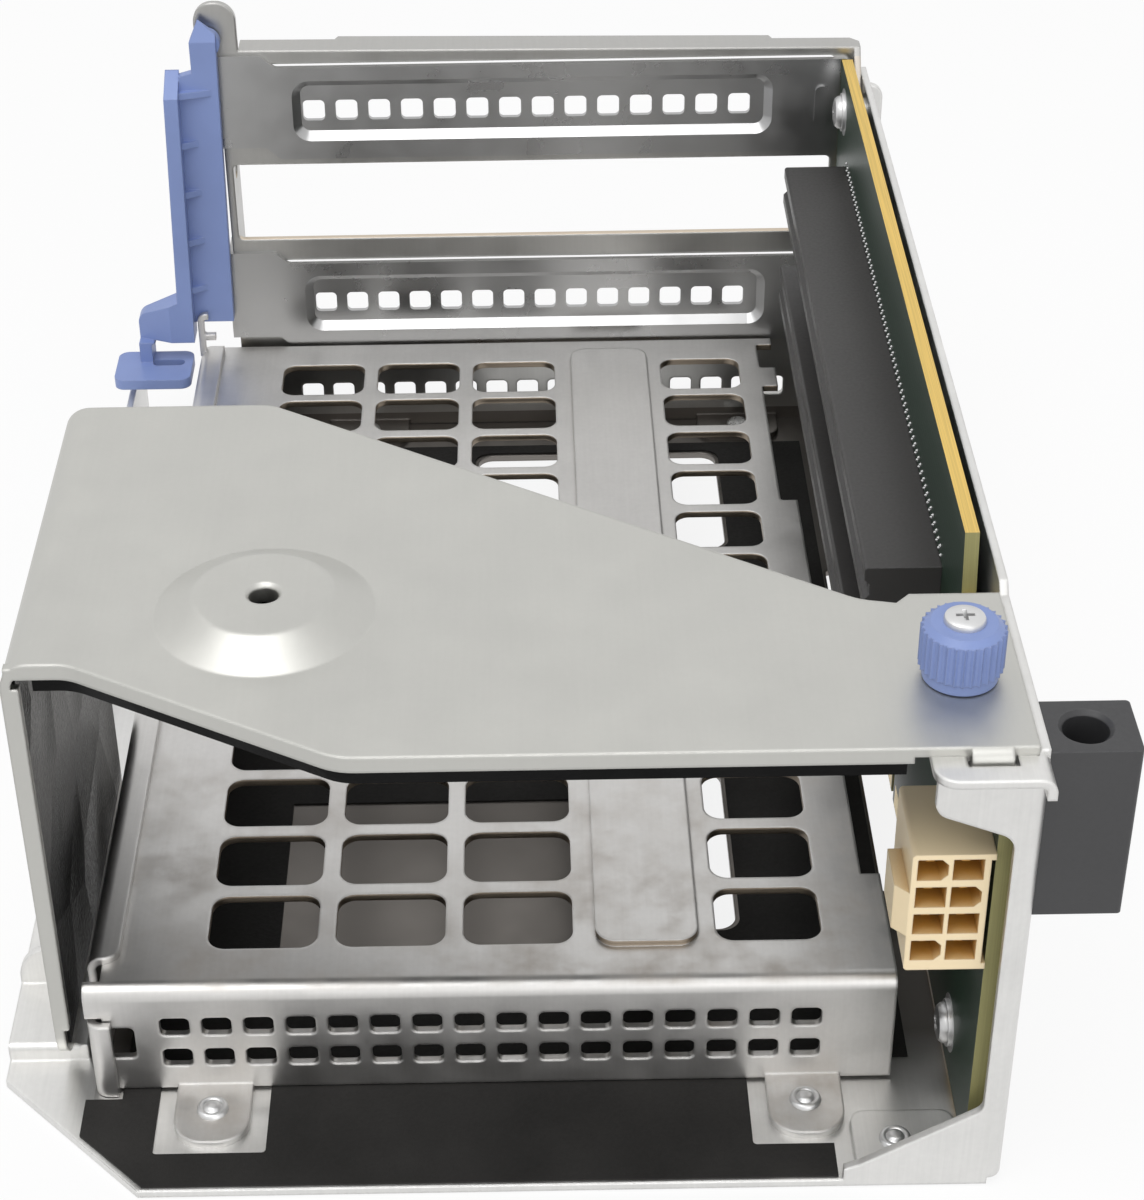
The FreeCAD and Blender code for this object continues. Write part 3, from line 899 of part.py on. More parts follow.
def make_thumbscrew():
    knob = new_body("thumbscrew_knob")
    base, teeth_low, top = size.thumb_base, size.teeth_low, size.thumb_top
    edge = size.thumb_chamfer
    turn(knob, "core", "-sizes.thumb_x", "sizes.thumb_y",
         (size.screw_shank, base), (size.thumb_collar, base), (size.thumb_collar, teeth_low),
         (size.thumb_radius - size.thumb_tooth, teeth_low),
         (size.thumb_radius - size.thumb_tooth, top - edge),
         (size.thumb_radius - size.thumb_tooth - edge, top), (size.screw_shank, top))
    step = math.pi / size.thumb_teeth
    rim = [(size.thumb_radius - (size.thumb_tooth * 1.5 if index % 2 else 0), index * step)
           for index in range(2 * int(size.thumb_teeth))]
    grow(knob, "teeth", "XY_Plane", "sizes.teeth_low",
         "sizes.thumb_top - sizes.thumb_chamfer - sizes.teeth_low",
         outline(*[(-size.thumb_x + radius * math.cos(angle), size.thumb_y + radius * math.sin(angle))
                   for radius, angle in rim]),
         circle(-size.thumb_x, size.thumb_y, size.screw_head))
    screw = new_body("thumbscrew_screw")
    turn(screw, "screw", "-sizes.thumb_x", "sizes.thumb_y",
         (0, size.screw_low), (size.screw_shank - size.screw_lead, size.screw_low),
         (size.screw_shank, size.screw_low + size.screw_lead), (size.screw_shank, top),
         (size.screw_head, top), (size.screw_head, top + size.screw_head_rise * 0.5),
         (size.screw_head * 0.75, top + size.screw_head_rise), (0, top + size.screw_head_rise))
    nut = new_body("clinch_nut")
    bore = size.screw_shank + size.screw_play
    nut_low = size.flange_low - size.nut_flange_rise
    turn(nut, "nut", "-sizes.thumb_x", "sizes.thumb_y",
         (bore, nut_low), (size.nut_flange, nut_low), (size.nut_flange, size.flange_low),
         (size.nut_barrel, size.flange_low), (size.nut_barrel, size.wall_top), (bore, size.wall_top))


def make_guide_block():
    body = new_body("guide_block")
    back = size.block_front + size.block_depth
    grow(body, "block", "XY_Plane", "sizes.block_low", "sizes.block_height",
         outline((0, size.block_front), (size.block_width, size.block_front, size.block_round),
                 (size.block_width, back, size.block_round), (0, back)))
    cut(body, "pin_bore", "XY_Plane", "sizes.block_low - 1", "sizes.block_height + 2",
        circle(size.block_bore_x, size.block_front + size.block_bore_y, size.block_bore))
    cut(body, "bore_lead", "XY_Plane", "sizes.block_low + sizes.block_height - sizes.block_bore_lead",
        "sizes.block_bore_lead",
        circle(size.block_bore_x, size.block_front + size.block_bore_y, size.block_bore), slope="-45")
    cut(body, "screw_holes", "YZ_Plane", "-1", "sizes.block_screw_reach + 1",
        *[circle(block_screw_y, z, size.block_screw) for z in block_screw_spots])
    head = -size.gauge
    fastener_group("guide_block_screws", [turned(
        Vector(1, 0, 0), Vector(0, block_screw_y, z),
        (0, head - size.block_screw_head_rise), (size.block_screw_head, head - size.block_screw_head_rise),
        (size.block_screw_head, head), (size.block_screw, head), (size.block_screw, size.block_screw_reach),
        (0, size.block_screw_reach)) for z in block_screw_spots])


def rivet(x, y, seat):
    """Domed rivet through the floor and one or two sheets above it."""
    head, dome, shank = size.rivet_head, size.rivet_dome, size.rivet_radius
    return turned(Vector(0, 0, 1), Vector(x, y, 0), (0, 0.1), (shank, 0.1), (shank, seat), (head, seat),
                  (head * 0.93, seat + dome * 0.5), (head * 0.6, seat + dome), (0, seat + dome))


def make_fasteners():
    seat = 2 * size.gauge
    fastener_group("foot_rivets", [rivet(x, y, seat) for x, y in rivet_spots + [flange_rivet]])
    foot_y = size.frame_face - size.frame_foot / 2
    frame_spots = (size.frame_rivet_one, size.frame_rivet_two)
    fastener_group("frame_rivets", [rivet(-x, foot_y, seat) for x in frame_spots])
    side = Vector(1, 0, 0)
    fastener_group("board_standoffs", [turned(
        side, Vector(0, y, z), (size.board_screw, -size.board_right), (size.standoff, -size.board_right),
        (size.standoff, -size.gauge), (size.board_screw, -size.gauge)) for y, z in board_screw_spots])
    head = -size.board_face - size.board_screw_dome
    fastener_group("board_screws", [turned(
        side, Vector(0, y, z), (0, head), (size.board_screw_head * 0.55, head),
        (size.board_screw_head * 0.93, head + size.board_screw_dome * 0.5),
        (size.board_screw_head, -size.board_face), (size.board_screw, -size.board_face),
        (size.board_screw, -size.gauge - size.seam), (0, -size.gauge - size.seam))
        for y, z in board_screw_spots])


finish_chassis(make_chassis())
make_cover()
make_cover_liner()
make_floor_insulator()
make_shelf()
make_shelf_side_wall()
make_rear_frame()
make_slot_cover("upper_slot_cover", 0)
make_slot_cover("lower_slot_cover", 2)
make_card_retainer()
make_retainer_pin()
make_board()
make_socket("upper_slot", 0)
make_socket("lower_slot", 1)
make_contacts("upper_contacts", 0)
make_contacts("lower_contacts", 1)
make_power_socket()
make_power_pins()
make_thumbscrew()
make_guide_block()
make_fasteners()
doc.recompute()

for item in doc.Objects:
    if "Invalid" in item.State or "Error" in item.State:
        raise RuntimeError(f"{item.Label} did not rebuild")
for piece in sub_parts:
    if piece.Shape.isNull() or not piece.Shape.isValid():
        raise RuntimeError(f"{piece.Label} has no valid shape")

os.makedirs("parts", exist_ok=True)
for piece in sub_parts:
    piece.Shape.exportStep(f"parts/{piece.Label}.step")
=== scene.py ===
"""Riser card cage: finishes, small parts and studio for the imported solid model."""

import math
from functools import reduce

import bmesh
import bpy
from bpy.props import FloatProperty, FloatVectorProperty, PointerProperty
from mathutils import Euler, Matrix, Vector


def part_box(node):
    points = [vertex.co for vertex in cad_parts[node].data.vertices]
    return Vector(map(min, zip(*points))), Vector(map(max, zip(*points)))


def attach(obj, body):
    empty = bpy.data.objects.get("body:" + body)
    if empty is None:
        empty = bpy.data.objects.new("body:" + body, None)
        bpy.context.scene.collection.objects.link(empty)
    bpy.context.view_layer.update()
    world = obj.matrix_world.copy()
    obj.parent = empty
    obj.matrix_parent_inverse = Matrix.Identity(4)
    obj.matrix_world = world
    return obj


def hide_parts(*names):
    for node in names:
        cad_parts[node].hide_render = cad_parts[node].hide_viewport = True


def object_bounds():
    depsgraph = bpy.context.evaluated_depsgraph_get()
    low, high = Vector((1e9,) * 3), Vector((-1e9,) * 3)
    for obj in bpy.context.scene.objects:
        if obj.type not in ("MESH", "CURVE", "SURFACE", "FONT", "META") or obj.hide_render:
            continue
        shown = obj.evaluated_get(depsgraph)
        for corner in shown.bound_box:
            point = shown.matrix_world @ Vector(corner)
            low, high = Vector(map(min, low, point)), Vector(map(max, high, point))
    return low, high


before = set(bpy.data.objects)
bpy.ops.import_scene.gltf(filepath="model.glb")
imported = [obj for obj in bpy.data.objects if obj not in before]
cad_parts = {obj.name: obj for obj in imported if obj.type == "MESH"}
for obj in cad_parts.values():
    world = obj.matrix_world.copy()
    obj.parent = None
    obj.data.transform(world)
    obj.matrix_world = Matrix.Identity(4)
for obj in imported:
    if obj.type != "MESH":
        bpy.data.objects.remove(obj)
CAD_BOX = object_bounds()

bl_info = {
    "name": "Riser Card Cage",
    "version": (1, 0, 0),
    "blender": (4, 5, 0),
    "location": "3D View > Sidebar > Riser Cage",
    "description": "Dresses the riser card cage with finishes and small parts, and sets its studio",
    "category": "Object",
}

MM = 0.001
LEFT, UP = (-1, 0, 0), (0, 0, 1)
WHITE = (1.0, 1.0, 1.0, 1.0)
FLOAT, COLOUR, VECTOR = "NodeSocketFloat", "NodeSocketColor", "NodeSocketVector"

# fixed places and profiles

FLOOR_TOP = 3.0 * MM  # the chassis is floor below this height
SHADE_START, SHADE_FULL = -6.0 * MM, 10.0 * MM  # where the painted shade on the floor begins, and is full, from the shelf's face
FLANGE_DEPTH = 2.0 * MM  # the shelf's vents begin this far behind its face
BARS_BELOW, BARS_ABOVE = 12.0 * MM, 20.0 * MM  # the rear frame's bars, which get a tan painted reflection, below its top and above the floor
FOOT_TOP = 4.0 * MM  # the rear frame is foot below this height, where it gets painted shade

TAIL_ROWS = ((0.7 * MM, 0.0), (1.7 * MM, 0.5))  # gap above the socket, and shift in pitches
TAIL_TIP = 0.42  # share of a cone's foot

RECESS_TAPER = 0.45  # width at the bottom of a cross recess, as a share of its mouth
SCREW_RADIUS = 3.5 * MM
FRONT_SCREW_HEIGHT = 63.0 * MM
RING_RISE = 0.05 * MM
# shares of the head's radius and rise
PAN_HEAD = ((0.0, 1.0), (0.45, 0.98), (0.72, 0.86), (0.84, 0.58), (0.86, 0.34), (0.98, 0.30), (1.0, 0.20),
            (1.0, 0.0), (0.0, 0.0))
RIVET_HEAD = ((0.0, 1.0), (0.28, 0.97), (0.46, 0.80), (0.52, 0.55), (0.58, 0.48), (0.66, 0.62), (0.80, 0.66),
              (0.95, 0.40), (1.0, 0.0), (0.60, 0.0))
RIVET_RADIUS, RIVET_SEAT = 2.3 * MM, 2.4 * MM
RIGHT_FOOT_X = 44.85 * MM  # rivet of the shelf's right foot

# share of the head's radius, and drop below its top
HEAD_CROWN = ((0.0, 0.0), (0.80, 0.0), (0.95, 0.25 * MM), (1.0, 0.6 * MM))
SHANK_RADIUS, THREAD_PITCH = 2.0 * MM, 0.7 * MM
THREAD = ((1.0, 0.1), (0.84, 0.55), (1.0, 1.0))  # shares of the shank's radius and of the pitch

PAD_RUN, PAD_KEY = (-0.0405, 0.0445), (-0.0195, -0.0165)  # the fingers and the key's gap between them
PAD_SINK, PAD_RISE = 0.02 * MM, 0.03 * MM  # into the board and off it
PAD_FOOT, PAD_TOP = 0.3 * MM, 4.4 * MM  # from the tongue's end
PAD_SHARE = 0.7  # of the pitch

# name, place, aim, width and the setting of the power
PANELS = (("overhead_panel", (-0.25, -0.35, 1.15), (0.0, 0.0, 0.03), 0.9, "key_power"),
          ("front_panel", (0.45, -1.15, 0.50), (0.0, 0.0, 0.04), 0.8, "fill_power"))
FLOOR_REACH, FLOOR_GAP = 4.0, 0.3 * MM  # half the floor's width, and its drop below the part


def colour_property(name, description, default):
    return FloatVectorProperty(name=name, description=description, default=default, size=3,
                               min=0.0, max=1.0, subtype="COLOR")


def length_property(name, description, default):
    return FloatProperty(name=name, description=description, default=default, min=0.0,
                         unit="LENGTH", subtype="DISTANCE", precision=5)


class CageFinishSettings(bpy.types.PropertyGroup):
    """Colours of the cage's finishes."""
    frame_steel: colour_property("Frame Steel", "Zinc plated sheet of the chassis", (0.72, 0.715, 0.70))
    rear_steel: colour_property("Rear Steel", "Zinc plated sheet of the rear frame", (0.45, 0.445, 0.43))
    cover_steel: colour_property("Cover Steel", "Zinc plated sheet of the top cover", (0.53, 0.527, 0.50))
    shelf_steel: colour_property("Shelf Steel", "Zinc plated sheet of the shelf", (0.62, 0.61, 0.595))
    slot_steel: colour_property("Slot Steel", "Plated sheet of the slot covers", (0.43, 0.43, 0.43))
    # painted shade: dark colour of the floor under the shelf and of the rear frame's foot
    floor_shade: colour_property("Floor Shade", "Bare floor under the shelf", (0.22, 0.205, 0.19))
    stain: colour_property("Stain", "Brown stains on the shelf", (0.39, 0.33, 0.27))
    # partly bare cut steel, partly painted shade on the shelf's upright walls
    cut_edge_and_wall_shade: colour_property("Cut Edge And Wall Shade", "Bare steel of the shelf's cut edges", (0.30, 0.235, 0.165))
    # painted reflection: tan surroundings mirrored in the upper faces of the rear frame's bars
    tan_reflection: colour_property("Tan Reflection", "Tan tint of the rear frame's bars", (0.66, 0.55, 0.42))
    film: colour_property("Film", "Black insulator film", (0.022, 0.021, 0.020))
    liner: colour_property("Liner", "Glossy film under the cover", (0.011, 0.011, 0.011))
    blue: colour_property("Blue Plastic", "Moulded touch points", (0.225, 0.30, 0.575))
    mask: colour_property("Solder Mask", "Green of the board's faces", (0.014, 0.034, 0.020))
    laminate: colour_property("Laminate", "Cut top edge of the board", (0.82, 0.56, 0.15))
    # painted shade: laminate of the board's front edge, a darker copy of the top edge's
    shaded_laminate: colour_property("Shaded Laminate", "Cut front edge of the board", (0.33, 0.31, 0.13))
    socket: colour_property("Socket Plastic", "Card sockets", (0.034, 0.032, 0.031))
    contact: colour_property("Contact Metal", "Plated contacts", (0.78, 0.56, 0.22))
    cream: colour_property("Power Plastic", "Power header", (0.90, 0.74, 0.48))
    hollow_shade: colour_property("Power Hollow Shade", "Light that soaks into the power header's cells", (0.58, 0.31, 0.06))
    block: colour_property("Block Plastic", "Guide block", (0.040, 0.040, 0.042))
    fastener: colour_property("Fastener Steel", "Screws and rivets", (0.66, 0.66, 0.65))


class CageDetailSettings(bpy.types.PropertyGroup):
    """Sizes of the small parts."""
    tail_pitch: length_property("Tail Pitch", "Spacing of the sockets' solder tails", 2.0 * MM)
    tail_radius: length_property("Tail Radius", "Foot of a solder cone", 0.30 * MM)
    tail_rise: length_property("Tail Rise", "How far a solder cone stands off the board", 0.28 * MM)
    recess_width: length_property("Recess Width", "Width of a cross recess's arm", 0.8 * MM)
    recess_depth: length_property("Recess Depth", "Depth of a cross recess", 1.1 * MM)
    pad_pitch: length_property("Pad Pitch", "Spacing of the edge fingers", 1.0 * MM)
    ring_radius: length_property("Ring Radius", "Plated ring on the board round each screw", 4.3 * MM)
    sheet_round: length_property("Sheet Round", "Rounding that sheet edges show in the light", 0.6 * MM)
    moulded_round: length_property("Moulded Round", "Rounding that moulded edges show in the light", 0.3 * MM)
    shelf_face: FloatProperty(name="Shelf Face", description="Front flange of the shelf",
                              default=-0.0835, unit="LENGTH")
    film_window: FloatVectorProperty(name="Film Window", size=4, unit="LENGTH",
                                     description="Left, right, front and back of the floor film's window",
                                     default=(-0.03285, 0.01885, -0.0570, -0.0190))


class CageStageSettings(bpy.types.PropertyGroup):
    """Camera, light and floor."""
    camera_place: FloatVectorProperty(name="Camera Place", description="Camera position", size=3,
                                      default=(0.00697, -0.35749, 0.27807), subtype="TRANSLATION", unit="LENGTH")
    camera_pitch: FloatProperty(name="Camera Pitch", description="Angle below the horizon",
                                default=math.radians(34.93), subtype="ANGLE")
    camera_roll: FloatProperty(name="Camera Roll", description="Turn about the view axis",
                               default=-0.0168, subtype="ANGLE")
    lens: FloatProperty(name="Lens", description="Focal length in millimetres", default=79.29, min=1.0)
    shift: FloatProperty(name="Shift", description="Sideways shift of the picture", default=0.0332)
    key_power: FloatProperty(name="Key Power", description="Power of the overhead panel",
                             default=7.0, unit="POWER")
    fill_power: FloatProperty(name="Fill Power", description="Power of the front panel",
                              default=3.0, unit="POWER")
    sky: FloatProperty(name="Sky", description="Strength of the even light", default=0.55)
    floor_colour: colour_property("Floor", "Pale floor", (0.93, 0.93, 0.93))
    floor_glow: FloatProperty(name="Floor Glow", description="Share of plain white in the floor", default=0.86,
                              min=0.0, max=1.0)


# node helpers

def add_node(tree, kind, **settings):
    node = tree.nodes.new(kind)
    for name, value in settings.items():
        setattr(node, name, value)
    return node


def feed(tree, target, value):
    """Links a socket to another one, or sets a plain value on it."""
    if isinstance(value, bpy.types.NodeSocket):
        tree.links.new(value, target)
    else:
        target.default_value = value


def object_place(tree):
    """The object's own coordinates."""
    return add_node(tree, "ShaderNodeTexCoord").outputs["Object"]


def split_vector(tree, vector):
    """Separate X, Y and Z of a vector."""
    split = add_node(tree, "ShaderNodeSeparateXYZ")
    tree.links.new(vector, split.inputs["Vector"])
    return split.outputs


def upward(tree):
    """How far a face looks up or down, by its true normal."""
    return split_vector(tree, add_node(tree, "ShaderNodeNewGeometry").outputs["True Normal"])["Z"]


def mapped(tree, vector, label, value):
    """Coordinates scaled or turned by axis, for a pattern that runs one way."""
    node = add_node(tree, "ShaderNodeMapping")
    node.inputs[label].default_value = value
    tree.links.new(vector, node.inputs["Vector"])
    return node.outputs["Vector"]


def noise(tree, vector, scale, detail=3.0, roughness=0.55):
    node = add_node(tree, "ShaderNodeTexNoise")
    for label, value in (("Vector", vector), ("Scale", scale), ("Detail", detail), ("Roughness", roughness)):
        feed(tree, node.inputs[label], value)
    return node.outputs["Fac"]


def spread(tree, value, low, high, to_low, to_high):
    """Value remapped from one range to another, held inside it."""
    node = add_node(tree, "ShaderNodeMapRange")
    for label, number in (("From Min", low), ("From Max", high), ("To Min", to_low), ("To Max", to_high)):
        node.inputs[label].default_value = number
    tree.links.new(value, node.inputs["Value"])
    return node.outputs["Result"]


def swing(tree, value, amount):
    """Noise about its middle, as plus or minus an amount."""
    return spread(tree, value, 0.3, 0.7, -amount, amount)


def combine(tree, operation, *terms):
    """One maths node; each term may be a socket or a number."""
    node = add_node(tree, "ShaderNodeMath", operation=operation)
    for target, term in zip(node.inputs, terms):
        feed(tree, target, term)
    return node.outputs["Value"]


def total(tree, *terms):
    return reduce(lambda first, second: combine(tree, "ADD", first, second), terms)


def product(tree, *terms):
    return reduce(lambda first, second: combine(tree, "MULTIPLY", first, second), terms)


def looks_along(tree, direction, limit):
    """1 where one part of a normal is past the limit, either way."""
    return combine(tree, "GREATER_THAN", combine(tree, "ABSOLUTE", direction), limit)


def blend_colours(tree, factor, first, second):
    """Mix of two colours; each may be a socket or three channels."""
    node = add_node(tree, "ShaderNodeMix", data_type="RGBA", blend_type="MIX")
    tree.links.new(factor, node.inputs["Factor"])
    for label, side in (("A", first), ("B", second)):
        target = next(s for s in node.inputs if s.name == label and s.type == "RGBA")
        feed(tree, target, side if isinstance(side, bpy.types.NodeSocket) else (*side, 1.0))
    return next(s for s in node.outputs if s.type == "RGBA")


def shaded(tree, colour, value):
    """Colour made lighter or darker by a value."""
    node = add_node(tree, "ShaderNodeHueSaturation")
    tree.links.new(value, node.inputs["Value"])
    tree.links.new(colour, node.inputs["Color"])
    return node.outputs["Color"]


# shader node groups

def new_group(name, inputs, outputs):
    """Empty shader group with named sockets; inputs are (name, kind, default)."""
    group = bpy.data.node_groups.new(name, "ShaderNodeTree")
    for label, kind, default in inputs:
        socket = group.interface.new_socket(label, in_out="INPUT", socket_type=kind)
        socket.default_value = default
    for label, kind in outputs:
        group.interface.new_socket(label, in_out="OUTPUT", socket_type=kind)
    entry = group.nodes.new("NodeGroupInput")
    leave = group.nodes.new("NodeGroupOutput")
    return group, entry.outputs, leave.inputs


def build_sheet_group():
    """Rolled zinc sheet: cloudy tone, fine tooth, faint rolling lines and brown stains."""
    group, given, result = new_group(
        "zinc_sheet",
        [("Colour", COLOUR, (0.6, 0.6, 0.6, 1)), ("Stain", COLOUR, (0.3, 0.25, 0.2, 1)),
         ("Cloud", FLOAT, 0.10), ("Grain", FLOAT, 0.10), ("Tooth", FLOAT, 1.0),
         ("Roughness", FLOAT, 0.36), ("Wear", FLOAT, 0.0)],
        [("Colour", COLOUR), ("Roughness", FLOAT), ("Height", FLOAT)])
    place = object_place(group)
    cloud = noise(group, place, scale=30.0, detail=4.0, roughness=0.6)
    blotch = noise(group, place, scale=120.0, detail=4.0, roughness=0.62)
    tooth = product(group, noise(group, place, scale=1100.0, detail=2.0, roughness=0.5), given["Tooth"])
    drawn_out = mapped(group, place, "Scale", (1700.0, 60.0, 60.0))
    lines = noise(group, drawn_out, scale=1.0, detail=2.0, roughness=0.6)
    rolled = product(group, spread(group, lines, 0.25, 0.75, -1.0, 1.0), given["Grain"])
    mottle = total(group, swing(group, cloud, 1.0), swing(group, blotch, 0.7), swing(group, tooth, 0.5))
    tone = total(group, product(group, mottle, given["Cloud"]), rolled, 1.0)
    soiled = product(group, spread(group, blotch, 0.40, 0.72, 0.0, 1.0),
                     spread(group, cloud, 0.38, 0.62, 0.25, 1.0), given["Wear"])
    colour = blend_colours(group, soiled, shaded(group, given["Colour"], tone), given["Stain"])
    rough = total(group, given["Roughness"], swing(group, cloud, 0.05), swing(group, blotch, 0.04),
                  product(group, soiled, 0.25))
    height = total(group, tooth, product(group, blotch, 0.5))
    for label, value in (("Colour", colour), ("Roughness", rough), ("Height", height)):
        group.links.new(value, result[label])
    return group


def build_edge_group():
    """Normal with rounded edges, and a mask of the edges for a painted highlight, broken up by noise."""
    group, given, result = new_group("rubbed_edges", [("Width", FLOAT, 0.35 * MM)],
                                     [("Mask", FLOAT), ("Normal", VECTOR)])
    bevel = add_node(group, "ShaderNodeBevel", samples=4)
    group.links.new(given["Width"], bevel.inputs["Radius"])
    rounded = bevel.outputs["Normal"]
    plain = add_node(group, "ShaderNodeNewGeometry").outputs["Normal"]
    dot = add_node(group, "ShaderNodeVectorMath", operation="DOT_PRODUCT")
    group.links.new(rounded, dot.inputs[0])
    group.links.new(plain, dot.inputs[1])
    broken = spread(group, noise(group, object_place(group), scale=420.0), 0.35, 0.65, 0.35, 1.0)
    edge = spread(group, dot.outputs["Value"], 0.80, 0.98, 1.0, 0.0)
    group.links.new(product(group, edge, broken), result["Mask"])
    group.links.new(rounded, result["Normal"])
    return group


def build_moulded_group():
    """Moulded plastic: faint tone drift and a fine eroded skin."""
    group, given, result = new_group(
        "moulded_skin",
        [("Colour", COLOUR, (0.5, 0.5, 0.5, 1)), ("Drift", FLOAT, 0.06), ("Roughness", FLOAT, 0.42),
         ("Skin Scale", FLOAT, 2600.0)],
        [("Colour", COLOUR), ("Roughness", FLOAT), ("Height", FLOAT)])
    place = object_place(group)
    drift = noise(group, place, scale=60.0)
    skin = noise(group, place, scale=given["Skin Scale"], detail=2.0, roughness=0.5)
    tone = total(group, product(group, swing(group, drift, 1.0), given["Drift"]), 1.0)
    rough = total(group, given["Roughness"], swing(group, skin, 0.06))
    colour = shaded(group, given["Colour"], tone)
    for label, value in (("Colour", colour), ("Roughness", rough), ("Height", skin)):
        group.links.new(value, result[label])
    return group


def place_group(tree, name, build, **values):
    """Places a shared group, built at its first use, with its own values."""
    node = add_node(tree, "ShaderNodeGroup", name=name, node_tree=bpy.data.node_groups.get(name) or build())
    for label, value in values.items():
        node.inputs[label.replace("_", " ")].default_value = value
    return node.outputs


def rubbed_edges(tree, width):
    return place_group(tree, "rubbed_edges", build_edge_group, Width=width)


def moulded_skin(tree, colour, drift, roughness, scale):
    return place_group(tree, "moulded_skin", build_moulded_group, Colour=(*colour, 1), Drift=drift,
                       Roughness=roughness, Skin_Scale=scale)


# materials

def cleared_tree(block):
    """Empty node tree of a material or world."""
    block.use_nodes = True
    block.node_tree.nodes.clear()
    return block.node_tree


def new_material(name):
    material = bpy.data.materials.new(name)
    tree = cleared_tree(material)
    shader = tree.nodes.new("ShaderNodeBsdfPrincipled")
    output = tree.nodes.new("ShaderNodeOutputMaterial")
    tree.links.new(shader.outputs["BSDF"], output.inputs["Surface"])
    return material, tree, shader


def coat(tree, shader, colour, roughness):
    """Colour and roughness that vary over a surface."""
    tree.links.new(colour, shader.inputs["Base Color"])
    tree.links.new(roughness, shader.inputs["Roughness"])


def bump(tree, shader, height, strength, distance, normal=None):
    node = add_node(tree, "ShaderNodeBump")
    node.inputs["Strength"].default_value = strength
    node.inputs["Distance"].default_value = distance
    tree.links.new(height, node.inputs["Height"])
    if normal:
        tree.links.new(normal, node.inputs["Normal"])
    tree.links.new(node.outputs["Normal"], shader.inputs["Normal"])


def tint(tree, shader, mask, colour):
    """Mixes a colour into a finish where the mask is one."""
    plain = shader.inputs["Base Color"].links[0].from_socket
    tree.links.new(blend_colours(tree, mask, plain, colour), shader.inputs["Base Color"])


def sheet_material(name, colour, cloud, grain, roughness, relief=0.05, edge_highlight=0.5, tooth=1.0):
    """Plated sheet with a mottled tone and, unless its edge highlight is nothing, rounded edges with a painted
    highlight.
    """
    material, tree, shader = new_material(name)
    sheet = place_group(tree, "zinc_sheet", build_sheet_group, Colour=(*colour, 1), Cloud=cloud, Grain=grain,
                        Tooth=tooth, Roughness=roughness)
    tone, normal = sheet["Colour"], None
    if edge_highlight:
        edges = rubbed_edges(tree, bpy.context.scene.cage_detail.sheet_round)
        normal = edges["Normal"]
        # painted highlight: the edges' colour lifted by thirty percent
        bright = tuple(min(1.0, channel * 1.3) for channel in colour)
        tone = blend_colours(tree, product(tree, edges["Mask"], edge_highlight), tone, bright)
    coat(tree, shader, tone, sheet["Roughness"])
    shader.inputs["Metallic"].default_value = 1.0
    bump(tree, shader, sheet["Height"], strength=relief, distance=0.05 * MM, normal=normal)
    return material, tree, shader


def stain_towards_front(tree, colour, front, back, amount):
    """Stains on a sheet's upper face that thicken from the back to the front."""
    sheet = tree.nodes["zinc_sheet"]
    sheet.inputs["Stain"].default_value = (*colour, 1.0)
    near = spread(tree, split_vector(tree, object_place(tree))["Y"], front, back, amount, 0.0)
    level = spread(tree, upward(tree), 0.5, 0.9, 0.0, 1.0)
    tree.links.new(product(tree, near, level), sheet.inputs["Wear"])


def plastic_material(name, colour, roughness, drift=0.06, skin=2600.0):
    """Moulded plastic whose edges catch a little more light."""
    material, tree, shader = new_material(name)
    body = moulded_skin(tree, colour, drift, roughness, scale=skin)
    edges = rubbed_edges(tree, bpy.context.scene.cage_detail.moulded_round)
    # painted highlight: edges mixed towards a paler colour
    pale = tuple(channel + (1.0 - channel) * 0.25 for channel in colour)
    tone = blend_colours(tree, product(tree, edges["Mask"], 0.3), body["Colour"], pale)
    coat(tree, shader, tone, body["Roughness"])
    bump(tree, shader, body["Height"], strength=0.12, distance=0.06 * MM, normal=edges["Normal"])
    return material, tree, shader


def shade_hollows(tree, shader, colour, reach):
    """Mixes a painted shade, amber like light soaked into the plastic, into the hollows of a translucent
    moulding.
    """
    hollow = add_node(tree, "ShaderNodeAmbientOcclusion", samples=4, only_local=True)
    hollow.inputs["Distance"].default_value = reach
    # painted shade: the occluded hollows take the amber colour
    tint(tree, shader, spread(tree, hollow.outputs["AO"], 0.30, 0.80, 1.0, 0.0), colour)


def film_material(name, colour, roughness, crumple, gloss):
    """Insulator film: fine matt tooth, with soft folds where it hangs free."""
    material, tree, shader = new_material(name)
    body = moulded_skin(tree, colour, drift=0.25, roughness=roughness, scale=1700.0)
    place = object_place(tree)
    dent = add_node(tree, "ShaderNodeTexVoronoi", feature="F1")
    dent.inputs["Scale"].default_value = 52.0
    tree.links.new(place, dent.inputs["Vector"])
    folds = total(tree, noise(tree, place, scale=30.0, detail=1.0), product(tree, dent.outputs["Distance"], 0.7))
    height = total(tree, product(tree, body["Height"], 0.03), product(tree, folds, crumple))
    shader.inputs["Specular Tint"].default_value = (gloss, gloss, gloss, 1.0)
    shader.inputs["Specular IOR Level"].default_value = 0.5 * gloss
    coat(tree, shader, body["Colour"], body["Roughness"])
    bump(tree, shader, height, strength=0.6, distance=3.0 * MM)
    return material


